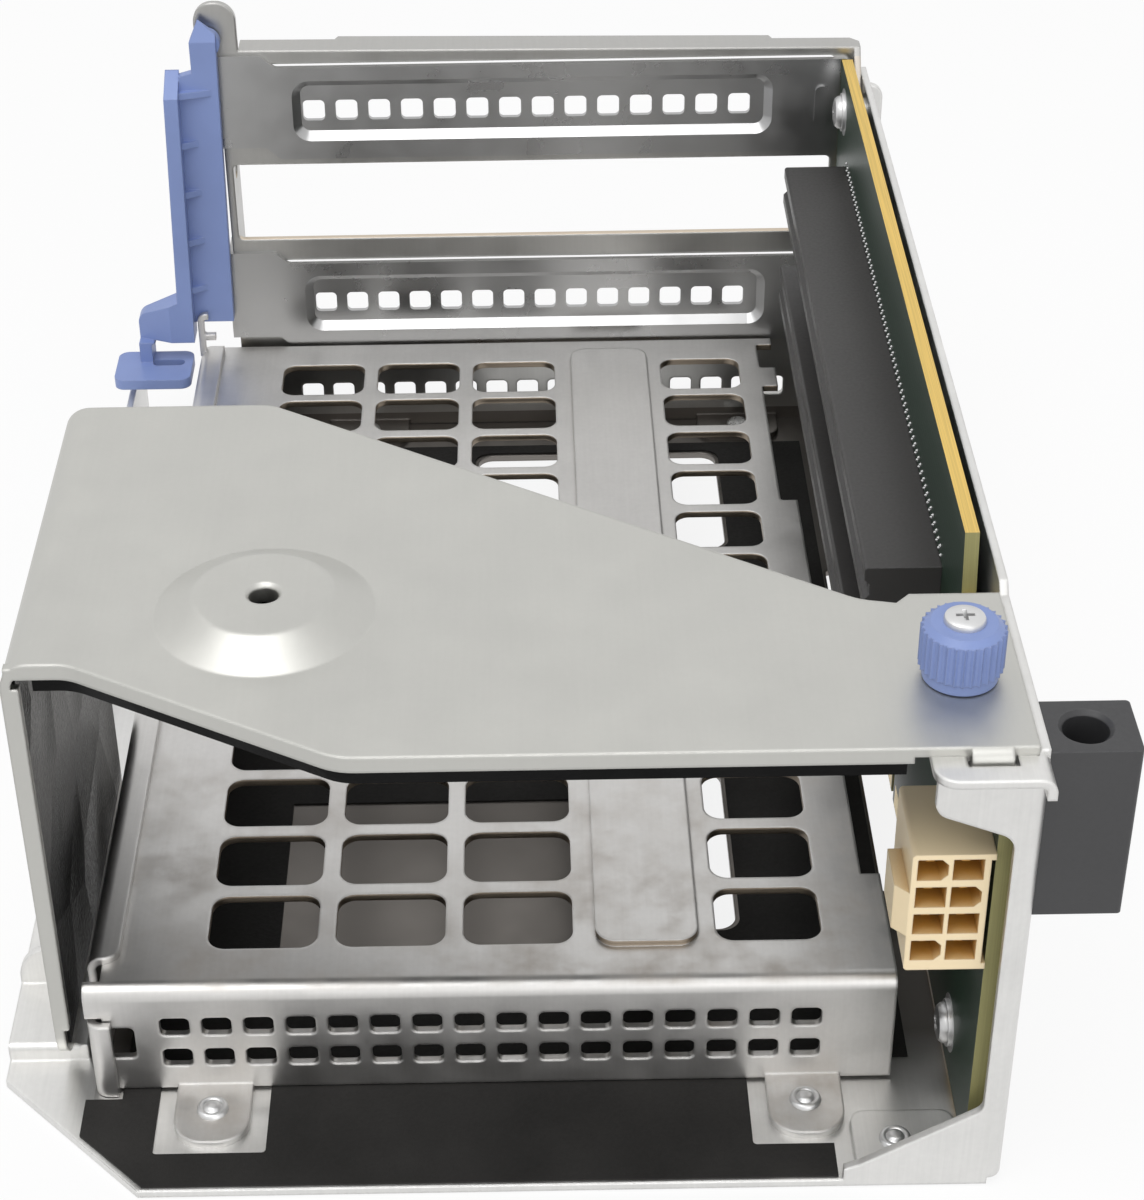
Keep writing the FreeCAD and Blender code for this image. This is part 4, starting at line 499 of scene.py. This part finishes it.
def board_material(finish):
    """Solder mask on the faces with faint tracks below it, and bare laminate on the cut edges, with painted shade
    on the edges that don't look up.
    """
    material, tree, shader = new_material("circuit_board")
    place = object_place(tree)
    normal = split_vector(tree, add_node(tree, "ShaderNodeTexCoord").outputs["Normal"])
    face, top = looks_along(tree, normal["X"], 0.7), looks_along(tree, normal["Z"], 0.5)
    tracks = add_node(tree, "ShaderNodeTexBrick", offset=0.37)
    for label, size in (("Scale", 1.0), ("Brick Width", 21.0 * MM), ("Row Height", 1.1 * MM),
                        ("Mortar Size", 0.22 * MM)):
        tracks.inputs[label].default_value = size
    for label, gain in (("Color1", 1.0), ("Color2", 1.25), ("Mortar", 0.72)):
        tracks.inputs[label].default_value = (*[channel * gain for channel in finish.mask], 1.0)
    onto_face = mapped(tree, place, "Rotation", (0.0, math.radians(90), math.radians(90)))
    tree.links.new(onto_face, tracks.inputs["Vector"])
    layers = noise(tree, mapped(tree, place, "Scale", (6000.0, 40.0, 40.0)), scale=1.0, detail=2.0)
    # painted shade: edges that don't look up take the darker laminate
    edge = blend_colours(tree, top, finish.shaded_laminate, finish.laminate)
    edge = blend_colours(tree, spread(tree, layers, 0.35, 0.65, 0.0, 0.3), edge,
                         tuple(channel * 0.6 for channel in finish.shaded_laminate))
    colour = blend_colours(tree, face, edge, tracks.outputs["Color"])
    coat(tree, shader, colour, spread(tree, face, 0.0, 1.0, 0.62, 0.40))
    bump(tree, shader, product(tree, tracks.outputs["Fac"], face), strength=0.2, distance=0.03 * MM)
    return material


def metal_material(name, colour, roughness):
    """Small plated metal parts: bright, with soft handling marks."""
    material, tree, shader = new_material(name)
    body = moulded_skin(tree, colour, drift=0.12, roughness=roughness, scale=1400.0)
    coat(tree, shader, body["Colour"], body["Roughness"])
    shader.inputs["Metallic"].default_value = 1.0
    bump(tree, shader, body["Height"], strength=0.06, distance=0.05 * MM)
    return material


def wear_on(nodes, material):
    """Gives CAD nodes a finish through their own material slots."""
    for name in nodes:
        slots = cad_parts[name].data.materials
        slots.clear()
        slots.append(material)


# mesh helpers

def mesh_object(name, mesh):
    """Links a mesh as an object at the origin."""
    data = bpy.data.meshes.new(name)
    mesh.to_mesh(data)
    mesh.free()
    item = bpy.data.objects.new(name, data)
    bpy.context.scene.collection.objects.link(item)
    return item


def add_piece(name, mesh, finish, body):
    """Links a finished mesh as a piece that rides on a body."""
    mesh.normal_update()
    piece = mesh_object(name, mesh)
    piece.data.materials.append(bpy.data.materials[finish])
    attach(piece, body)
    return piece


def spun(profile, axis, origin, steps):
    """Closed solid turned from (radius, run) points about an axis through the origin."""
    mesh = bmesh.new()
    direction = Vector(axis)
    side = Vector((0, 0, 1)) if abs(direction.z) < 0.5 else Vector((1, 0, 0))
    points = [mesh.verts.new(Vector(origin) + side * radius + direction * run) for radius, run in profile]
    edges = [mesh.edges.new(pair) for pair in zip(points, points[1:])]
    bmesh.ops.spin(mesh, geom=points + edges, cent=origin, axis=direction, angle=math.tau, steps=steps,
                   use_merge=True)
    bmesh.ops.remove_doubles(mesh, verts=mesh.verts, dist=0.0001 * MM)
    bmesh.ops.recalc_face_normals(mesh, faces=mesh.faces)
    for face in mesh.faces:
        face.smooth = True
    return mesh


def join_into(target, source):
    """Moves a mesh into another one."""
    data = bpy.data.meshes.new("carrier")
    source.to_mesh(data)
    source.free()
    target.from_mesh(data)
    bpy.data.meshes.remove(data)


def cross_cut(mesh, centre, outward, width, reach, depth):
    """Mesh with a tapered cross recess cut into the face that looks outward."""
    cutter = bmesh.new()
    turn = Vector(UP).rotation_difference(Vector(outward)).to_matrix().to_4x4()
    for angle in (0.0, math.pi / 2):
        corners = bmesh.ops.create_cube(cutter, size=1.0)["verts"]
        for corner in corners:
            x, y, z = corner.co
            taper = 1.0 if z > 0 else RECESS_TAPER
            corner.co = Vector((x * 2 * reach * taper, y * width * taper, depth if z > 0 else -depth))
        bmesh.ops.rotate(cutter, verts=corners, cent=(0, 0, 0), matrix=Matrix.Rotation(angle, 3, "Z"))
    bmesh.ops.transform(cutter, matrix=Matrix.Translation(centre) @ turn, verts=cutter.verts)
    bmesh.ops.recalc_face_normals(cutter, faces=cutter.faces)
    blank, tool = mesh_object("head_blank", mesh), mesh_object("recess_tool", cutter)
    cut = blank.modifiers.new("recess", "BOOLEAN")
    cut.object = tool
    cut.operation = "DIFFERENCE"
    cut.solver = "EXACT"
    cut.use_self = True
    result = bmesh.new()
    result.from_mesh(blank.evaluated_get(bpy.context.evaluated_depsgraph_get()).to_mesh())
    for holder in (blank, tool):
        data = holder.data
        bpy.data.objects.remove(holder)
        bpy.data.meshes.remove(data)
    return result


def shade_by_angle(piece, angle=35.0):
    """Smooth shading that keeps hard edges hard."""
    limit = math.radians(angle)
    mesh = bmesh.new()
    mesh.from_mesh(piece.data)
    for face in mesh.faces:
        face.smooth = True
    for edge in mesh.edges:
        edge.smooth = edge.is_manifold and edge.calc_face_angle(0.0) < limit
    mesh.to_mesh(piece.data)
    mesh.free()


# operators

class CAGE_OT_dress_sheet_metal(bpy.types.Operator):
    """Plated finishes of the chassis, cover, shelf, rear frame and slot covers"""
    bl_idname = "cage.dress_sheet_metal"
    bl_label = "Dress Sheet Metal"

    def execute(self, context):
        finish = context.scene.cage_finish
        cover = sheet_material("cover_steel", finish.cover_steel, cloud=0.014, grain=0.008, roughness=0.43)[0]
        wall = sheet_material("wall_steel", finish.shelf_steel, cloud=0.03, grain=0.03, roughness=0.40)[0]
        blank = sheet_material("slot_steel", finish.slot_steel, cloud=0.010, grain=0.0, roughness=0.30,
                               relief=0.01, edge_highlight=0.0, tooth=0.0)[0]
        wear_on(["top_cover"], cover)
        wear_on(["shelf_side_wall"], wall)
        wear_on(["upper_slot_cover", "lower_slot_cover"], blank)
        self.dress_chassis(finish)
        self.dress_shelf(finish)
        self.dress_rear_frame(finish)
        return {"FINISHED"}

    @staticmethod
    def dress_chassis(finish):
        """Chassis whose floor gets painted shade under the shelf and beside it, up to the board."""
        left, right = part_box("vented_shelf")[0].x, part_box("riser_board")[0].x
        face = bpy.context.scene.cage_detail.shelf_face
        material, tree, shader = sheet_material("frame_steel", finish.frame_steel, cloud=0.03, grain=0.03,
                                                roughness=0.40)
        place = split_vector(tree, object_place(tree))
        within = combine(tree, "COMPARE", place["X"], (left + right) / 2, (right - left) / 2)
        low = combine(tree, "LESS_THAN", place["Z"], FLOOR_TOP)
        behind = spread(tree, place["Y"], face + SHADE_START, face + SHADE_FULL, 0.0, 1.0)
        # painted shade on the low floor from the shelf's left side to the board, fading in behind the shelf's
        # face
        tint(tree, shader, product(tree, low, within, behind), finish.floor_shade)
        wear_on(["chassis_frame"], material)

    @staticmethod
    def dress_shelf(finish):
        """Shelf with brown stains at its front, and a dark brown on its upright faces behind the flange that is
        partly bare cut steel in its vents and partly painted shade on its walls.
        """
        face, high = bpy.context.scene.cage_detail.shelf_face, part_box("vented_shelf")[1]
        material, tree, shader = sheet_material("shelf_steel", finish.shelf_steel, cloud=0.035, grain=0.02,
                                                roughness=0.40, relief=0.08)
        stain_towards_front(tree, finish.stain, front=face, back=face + 0.5 * (high.y - face), amount=0.50)
        # upright faces behind the flange: bare cut edges, and painted shade on the walls of the raised ribs
        upright = spread(tree, combine(tree, "ABSOLUTE", upward(tree)), 0.2, 0.5, 0.85, 0.0)
        depth = split_vector(tree, object_place(tree))["Y"]
        inside = combine(tree, "GREATER_THAN", depth, face + FLANGE_DEPTH)
        tint(tree, shader, product(tree, upright, inside), finish.cut_edge_and_wall_shade)
        wear_on(["vented_shelf"], material)

    @staticmethod
    def dress_rear_frame(finish):
        """Rear frame whose bars between the card openings have a tan painted reflection on their upper edges,
        with painted shade on its foot.
        """
        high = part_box("rear_slot_frame")[1]
        material, tree, shader = sheet_material("rear_steel", finish.rear_steel, cloud=0.02, grain=0.02,
                                                roughness=0.36)
        height = split_vector(tree, object_place(tree))["Z"]
        # painted reflection: tan on the bars' faces that look up
        bars = product(tree, spread(tree, upward(tree), 0.4, 0.8, 0.0, 0.8),
                       combine(tree, "LESS_THAN", height, high.z - BARS_BELOW),
                       combine(tree, "GREATER_THAN", height, BARS_ABOVE))
        tint(tree, shader, bars, finish.tan_reflection)
        # painted shade on the foot, in the floor's shade colour
        tint(tree, shader, combine(tree, "LESS_THAN", height, FOOT_TOP), finish.floor_shade)
        wear_on(["rear_slot_frame"], material)


class CAGE_OT_dress_films(bpy.types.Operator):
    """Black insulator films on the floor and under the cover"""
    bl_idname = "cage.dress_films"
    bl_label = "Dress Films"

    def execute(self, context):
        finish = context.scene.cage_finish
        wear_on(["floor_insulator"],
                film_material("floor_film", finish.film, roughness=0.62, crumple=0.0, gloss=0.6))
        # painted shade: the cover film's reflections are dimmed, for the dark inside of the cage that it mirrors
        wear_on(["cover_liner"],
                film_material("cover_film", finish.liner, roughness=0.18, crumple=0.7, gloss=0.2))
        return {"FINISHED"}


class CAGE_OT_cut_film_window(bpy.types.Operator):
    """Floor film with a window that bares the floor under the shelf"""
    bl_idname = "cage.cut_film_window"
    bl_label = "Cut Film Window"

    def execute(self, context):
        left, right, front, back = context.scene.cage_detail.film_window
        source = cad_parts["floor_insulator"]
        mesh = bmesh.new()
        mesh.from_mesh(source.data)
        mesh.transform(source.matrix_world)
        bmesh.ops.remove_doubles(mesh, verts=mesh.verts, dist=0.001 * MM)
        for axis, level in (((1, 0, 0), left), ((1, 0, 0), right), ((0, 1, 0), front), ((0, 1, 0), back)):
            bmesh.ops.bisect_plane(mesh, geom=[*mesh.verts, *mesh.edges, *mesh.faces], dist=0.0001 * MM,
                                   plane_co=level * Vector(axis), plane_no=axis)
        middles = ((face, face.calc_center_median()) for face in mesh.faces)
        bared = [face for face, at in middles if left < at.x < right and front < at.y < back]
        bmesh.ops.delete(mesh, geom=bared, context="FACES")
        rims = [edge for edge in mesh.edges if edge.is_boundary]
        if not rims:
            raise RuntimeError("the window does not cross the floor film")
        bmesh.ops.bridge_loops(mesh, edges=rims)
        bmesh.ops.recalc_face_normals(mesh, faces=mesh.faces)
        piece = add_piece("floor_film", mesh, "floor_film", "base")
        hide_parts("floor_insulator")
        return {"FINISHED"}


class CAGE_OT_dress_plastics(bpy.types.Operator):
    """Moulded finishes of the latch, knob, sockets, power header and guide block"""
    bl_idname = "cage.dress_plastics"
    bl_label = "Dress Plastics"

    def execute(self, context):
        finish = context.scene.cage_finish
        wear_on(["card_retainer", "thumbscrew_knob"],
                plastic_material("blue_plastic", finish.blue, roughness=0.40)[0])
        wear_on(["upper_slot", "lower_slot"],
                plastic_material("socket_plastic", finish.socket, roughness=0.42, skin=1800.0)[0])
        header, tree, shader = plastic_material("power_plastic", finish.cream, roughness=0.38, drift=0.04)
        shade_hollows(tree, shader, finish.hollow_shade, reach=5.0 * MM)
        wear_on(["power_socket"], header)
        wear_on(["guide_block"],
                plastic_material("block_plastic", finish.block, roughness=0.46, skin=1500.0)[0])
        return {"FINISHED"}


class CAGE_OT_dress_board(bpy.types.Operator):
    """Finish of the riser board, of the plated contacts and of the plain fasteners"""
    bl_idname = "cage.dress_board"
    bl_label = "Dress Board"

    def execute(self, context):
        finish = context.scene.cage_finish
        wear_on(["riser_board"], board_material(finish))
        wear_on(["upper_contacts", "lower_contacts", "power_pins"],
                metal_material("contact_metal", finish.contact, roughness=0.28))
        wear_on(["retainer_pin", "clinch_nut", "frame_rivets", "board_standoffs", "guide_block_screws"],
                metal_material("fastener_steel", finish.fastener, roughness=0.30))
        return {"FINISHED"}


class CAGE_OT_add_solder_tails(bpy.types.Operator):
    """Rows of solder cones on the board beside each card socket"""
    bl_idname = "cage.add_solder_tails"
    bl_label = "Add Solder Tails"

    def execute(self, context):
        detail = context.scene.cage_detail
        board_low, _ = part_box("riser_board")
        mesh = bmesh.new()
        for socket in ("upper_slot", "lower_slot"):
            low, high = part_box(socket)
            count = int((high.y - low.y) / detail.tail_pitch) - 1
            for index in range(count):
                for gap, shift in TAIL_ROWS:
                    y = low.y + detail.tail_pitch * (1 + index + shift)
                    centre = Vector((board_low.x, y, high.z + gap))
                    self.add_cone(mesh, centre, detail.tail_radius, detail.tail_rise)
        piece = add_piece("solder_tails", mesh, "fastener_steel", "base")
        shade_by_angle(piece, angle=60.0)
        return {"FINISHED"}

    @staticmethod
    def add_cone(mesh, centre, radius, rise):
        """Solder cone with its cut tail, standing off the board's left face."""
        turn = Matrix.Rotation(-math.pi / 2, 4, "Y")
        place = Matrix.Translation(centre - Vector((rise / 2, 0, 0))) @ turn
        bmesh.ops.create_cone(mesh, cap_ends=True, segments=8, radius1=radius, radius2=radius * TAIL_TIP,
                              depth=rise, matrix=place)


class CAGE_OT_add_board_screws(bpy.types.Operator):
    """Pan head screws with cross recesses that hold the board, each on its plated ring"""
    bl_idname = "cage.add_board_screws"
    bl_label = "Add Board Screws"

    def execute(self, context):
        detail = context.scene.cage_detail
        low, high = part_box("board_screws")
        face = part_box("riser_board")[0].x
        radius = SCREW_RADIUS
        rise = face - low.x
        spots = [(low.y + radius, low.z + radius), (high.y - radius, low.z + radius),
                 (high.y - radius, high.z - radius), (low.y + radius, FRONT_SCREW_HEIGHT)]
        profile = [(share * radius, run * rise) for share, run in PAN_HEAD]
        inner, outer = 0.5 * radius, detail.ring_radius
        ring = [(inner, RING_RISE), (outer, RING_RISE), (outer, 0.0), (inner, 0.0), (inner, RING_RISE)]
        mesh = bmesh.new()
        for y, z in spots:
            head = spun(profile, LEFT, (face, y, z), steps=28)
            head = cross_cut(head, (face - rise, y, z), LEFT, detail.recess_width, reach=0.5 * radius,
                             depth=detail.recess_depth)
            join_into(mesh, head)
            join_into(mesh, spun(ring, LEFT, (face, y, z), steps=36))
        piece = add_piece("board_screw_heads", mesh, "fastener_steel", "base")
        shade_by_angle(piece)
        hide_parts("board_screws")
        return {"FINISHED"}


class CAGE_OT_add_thumbscrew_head(bpy.types.Operator):
    """The thumbscrew's steel screw with its cross recess and thread"""
    bl_idname = "cage.add_thumbscrew_head"
    bl_label = "Add Thumbscrew Head"

    def execute(self, context):
        detail = context.scene.cage_detail
        low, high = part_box("thumbscrew_screw")
        centre = (low + high) / 2
        head = (high.x - low.x) / 2
        shank, pitch = SHANK_RADIUS, THREAD_PITCH
        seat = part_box("thumbscrew_knob")[1].z
        thread_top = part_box("thumbscrew_knob")[0].z
        profile = [(share * head, high.z - drop) for share, drop in HEAD_CROWN]
        profile += [(head, seat), (shank, seat), (shank, thread_top)]
        turns = int((thread_top - low.z) / pitch) - 1
        for index in range(turns):
            top = thread_top - pitch * index
            profile += [(share * shank, top - run * pitch) for share, run in THREAD]
        profile += [(0.8 * shank, low.z), (0.0, low.z)]
        mesh = spun(profile, UP, (centre.x, centre.y, 0.0), steps=32)
        mesh = cross_cut(mesh, (centre.x, centre.y, high.z), UP, detail.recess_width, reach=0.62 * head,
                         depth=detail.recess_depth)
        piece = add_piece("thumbscrew_steel", mesh, "fastener_steel", "thumbscrew")
        shade_by_angle(piece)
        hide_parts("thumbscrew_screw")
        return {"FINISHED"}


class CAGE_OT_add_foot_rivets(bpy.types.Operator):
    """Rivets of the shelf's feet and of the front flange's foot, with a rolled rim round a domed core"""
    bl_idname = "cage.add_foot_rivets"
    bl_label = "Add Foot Rivets"

    def execute(self, context):
        low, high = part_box("foot_rivets")
        radius, seat = RIVET_RADIUS, RIVET_SEAT
        rise = high.z - seat
        spots = [(low.x + radius, high.y - radius), (RIGHT_FOOT_X, high.y - radius),
                 (high.x - radius, low.y + radius)]
        profile = [(share * radius, seat + run * rise) for share, run in RIVET_HEAD]
        profile += [(0.60 * radius, low.z), (0.0, low.z)]
        mesh = bmesh.new()
        for x, y in spots:
            join_into(mesh, spun(profile, UP, (x, y, 0.0), steps=36))
        piece = add_piece("foot_rivet_heads", mesh, "fastener_steel", "base")
        shade_by_angle(piece, angle=50.0)
        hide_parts("foot_rivets")
        return {"FINISHED"}


class CAGE_OT_add_edge_pads(bpy.types.Operator):
    """Plated fingers on both faces of the board's lower tongue"""
    bl_idname = "cage.add_edge_pads"
    bl_label = "Add Edge Fingers"

    def execute(self, context):
        pitch = context.scene.cage_detail.pad_pitch
        low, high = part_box("riser_board")
        front, back = PAD_RUN
        sides = ((low.x - PAD_RISE, low.x + PAD_SINK), (high.x - PAD_SINK, high.x + PAD_RISE))
        mesh = bmesh.new()
        for index in range(int((back - front) / pitch)):
            y = front + pitch * index
            if PAD_KEY[0] < y + pitch and y < PAD_KEY[1]:
                continue
            for left, right in sides:
                self.add_pad(mesh, (left, y, low.z + PAD_FOOT), (right, y + PAD_SHARE * pitch, low.z + PAD_TOP))
        add_piece("edge_finger_pads", mesh, "contact_metal", "base")
        return {"FINISHED"}

    @staticmethod
    def add_pad(mesh, low, high):
        """One finger, between its lowest and highest corners."""
        low, high = Vector(low), Vector(high)
        place = Matrix.Translation((low + high) / 2) @ Matrix.Diagonal((*(high - low), 1.0))
        bmesh.ops.create_cube(mesh, size=1.0, matrix=place)


class CAGE_OT_set_stage(bpy.types.Operator):
    """Pale floor, soft panels, even sky and the camera"""
    bl_idname = "cage.set_stage"
    bl_label = "Set Stage"

    def execute(self, context):
        stage = context.scene.cage_stage
        self.add_floor(stage)
        self.add_sky(context, stage)
        for name, place, aim, size, power in PANELS:
            self.add_panel(name, place, aim, size, getattr(stage, power))
        self.add_camera(context, stage)
        context.scene.view_settings.view_transform = "Standard"
        return {"FINISHED"}

    @staticmethod
    def seen_directly(tree):
        """1 for rays from the camera, or from metal or glass, and 0 for the rest."""
        path = add_node(tree, "ShaderNodeLightPath").outputs
        seen = combine(tree, "MAXIMUM", path["Is Camera Ray"], path["Is Glossy Ray"])
        return combine(tree, "MAXIMUM", seen, path["Is Transmission Ray"])

    @staticmethod
    def show_mix(tree, output, factor, first, second):
        """Shows two shaders, mixed by a factor, at a new output."""
        mix = add_node(tree, "ShaderNodeMixShader")
        for target, source in zip(mix.inputs, (factor, first, second)):
            tree.links.new(source, target)
        tree.links.new(mix.outputs["Shader"], add_node(tree, output).inputs["Surface"])

    def add_floor(self, stage):
        """Matt floor that the camera and bright metal see as nearly white."""
        mesh = bmesh.new()
        bmesh.ops.create_grid(mesh, x_segments=1, y_segments=1, size=FLOOR_REACH,
                              matrix=Matrix.Translation((0, 0, CAD_BOX[0][2] - FLOOR_GAP)))
        material = bpy.data.materials.new("pale_floor")
        tree = cleared_tree(material)
        matt = add_node(tree, "ShaderNodeBsdfDiffuse")
        matt.inputs["Color"].default_value = (*stage.floor_colour, 1.0)
        white = add_node(tree, "ShaderNodeEmission")
        white.inputs["Color"].default_value = WHITE
        self.show_mix(tree, "ShaderNodeOutputMaterial", product(tree, self.seen_directly(tree), stage.floor_glow),
                      matt.outputs["BSDF"], white.outputs["Emission"])
        floor = mesh_object("floor", mesh)
        floor.data.materials.append(material)

    def add_sky(self, context, stage):
        """Even light all round, with plain white behind the object."""
        world = bpy.data.worlds.new("studio")
        tree = cleared_tree(world)
        even, white = (add_node(tree, "ShaderNodeBackground") for _ in range(2))
        for background, strength in ((even, stage.sky), (white, 1.0)):
            background.inputs["Color"].default_value = WHITE
            background.inputs["Strength"].default_value = strength
        self.show_mix(tree, "ShaderNodeOutputWorld", self.seen_directly(tree), even.outputs["Background"],
                      white.outputs["Background"])
        context.scene.world = world

    @staticmethod
    def add_panel(name, place, aim, size, power):
        light = bpy.data.lights.new(name, "AREA")
        light.shape = "SQUARE"
        light.size = size
        light.energy = power
        panel = bpy.data.objects.new(name, light)
        panel.location = place
        panel.rotation_euler = (Vector(aim) - Vector(place)).to_track_quat("-Z", "Y").to_euler()
        bpy.context.scene.collection.objects.link(panel)

    @staticmethod
    def add_camera(context, stage):
        data = bpy.data.cameras.new("photo_camera")
        data.sensor_width = 36.0
        data.lens = stage.lens
        data.shift_x = stage.shift
        data.clip_start = 0.01
        camera = bpy.data.objects.new("photo_camera", data)
        tilt = Euler((math.pi / 2 - stage.camera_pitch, 0.0, 0.0)).to_matrix().to_4x4()
        roll = Matrix.Rotation(stage.camera_roll, 4, "Z")
        camera.matrix_world = Matrix.Translation(stage.camera_place) @ tilt @ roll
        context.scene.collection.objects.link(camera)
        context.scene.camera = camera


class CAGE_PT_sidebar(bpy.types.Panel):
    """Steps and settings of the riser card cage"""
    bl_idname = "CAGE_PT_sidebar"
    bl_label = "Riser Card Cage"
    bl_space_type = "VIEW_3D"
    bl_region_type = "UI"
    bl_category = "Riser Cage"

    def draw(self, context):
        layout = self.layout
        for operator in STEPS:
            layout.operator(operator.bl_idname)
        for settings in (context.scene.cage_finish, context.scene.cage_detail, context.scene.cage_stage):
            box = layout.box()
            for name in settings.__annotations__:
                box.prop(settings, name)


STEPS = (
    CAGE_OT_dress_sheet_metal,
    CAGE_OT_dress_films,
    CAGE_OT_cut_film_window,
    CAGE_OT_dress_plastics,
    CAGE_OT_dress_board,
    CAGE_OT_add_solder_tails,
    CAGE_OT_add_board_screws,
    CAGE_OT_add_thumbscrew_head,
    CAGE_OT_add_foot_rivets,
    CAGE_OT_add_edge_pads,
    CAGE_OT_set_stage,
)
SETTINGS = {"cage_finish": CageFinishSettings, "cage_detail": CageDetailSettings, "cage_stage": CageStageSettings}


def register():
    for item in (*SETTINGS.values(), *STEPS, CAGE_PT_sidebar):
        bpy.utils.register_class(item)
    for name, kind in SETTINGS.items():
        setattr(bpy.types.Scene, name, PointerProperty(type=kind))


def unregister():
    for name in SETTINGS:
        delattr(bpy.types.Scene, name)
    for item in reversed((*SETTINGS.values(), *STEPS, CAGE_PT_sidebar)):
        bpy.utils.unregister_class(item)


def main():
    register()
    for operator in STEPS:
        group, name = operator.bl_idname.split(".")
        getattr(getattr(bpy.ops, group), name)()


if __name__ == "__main__":
    main()
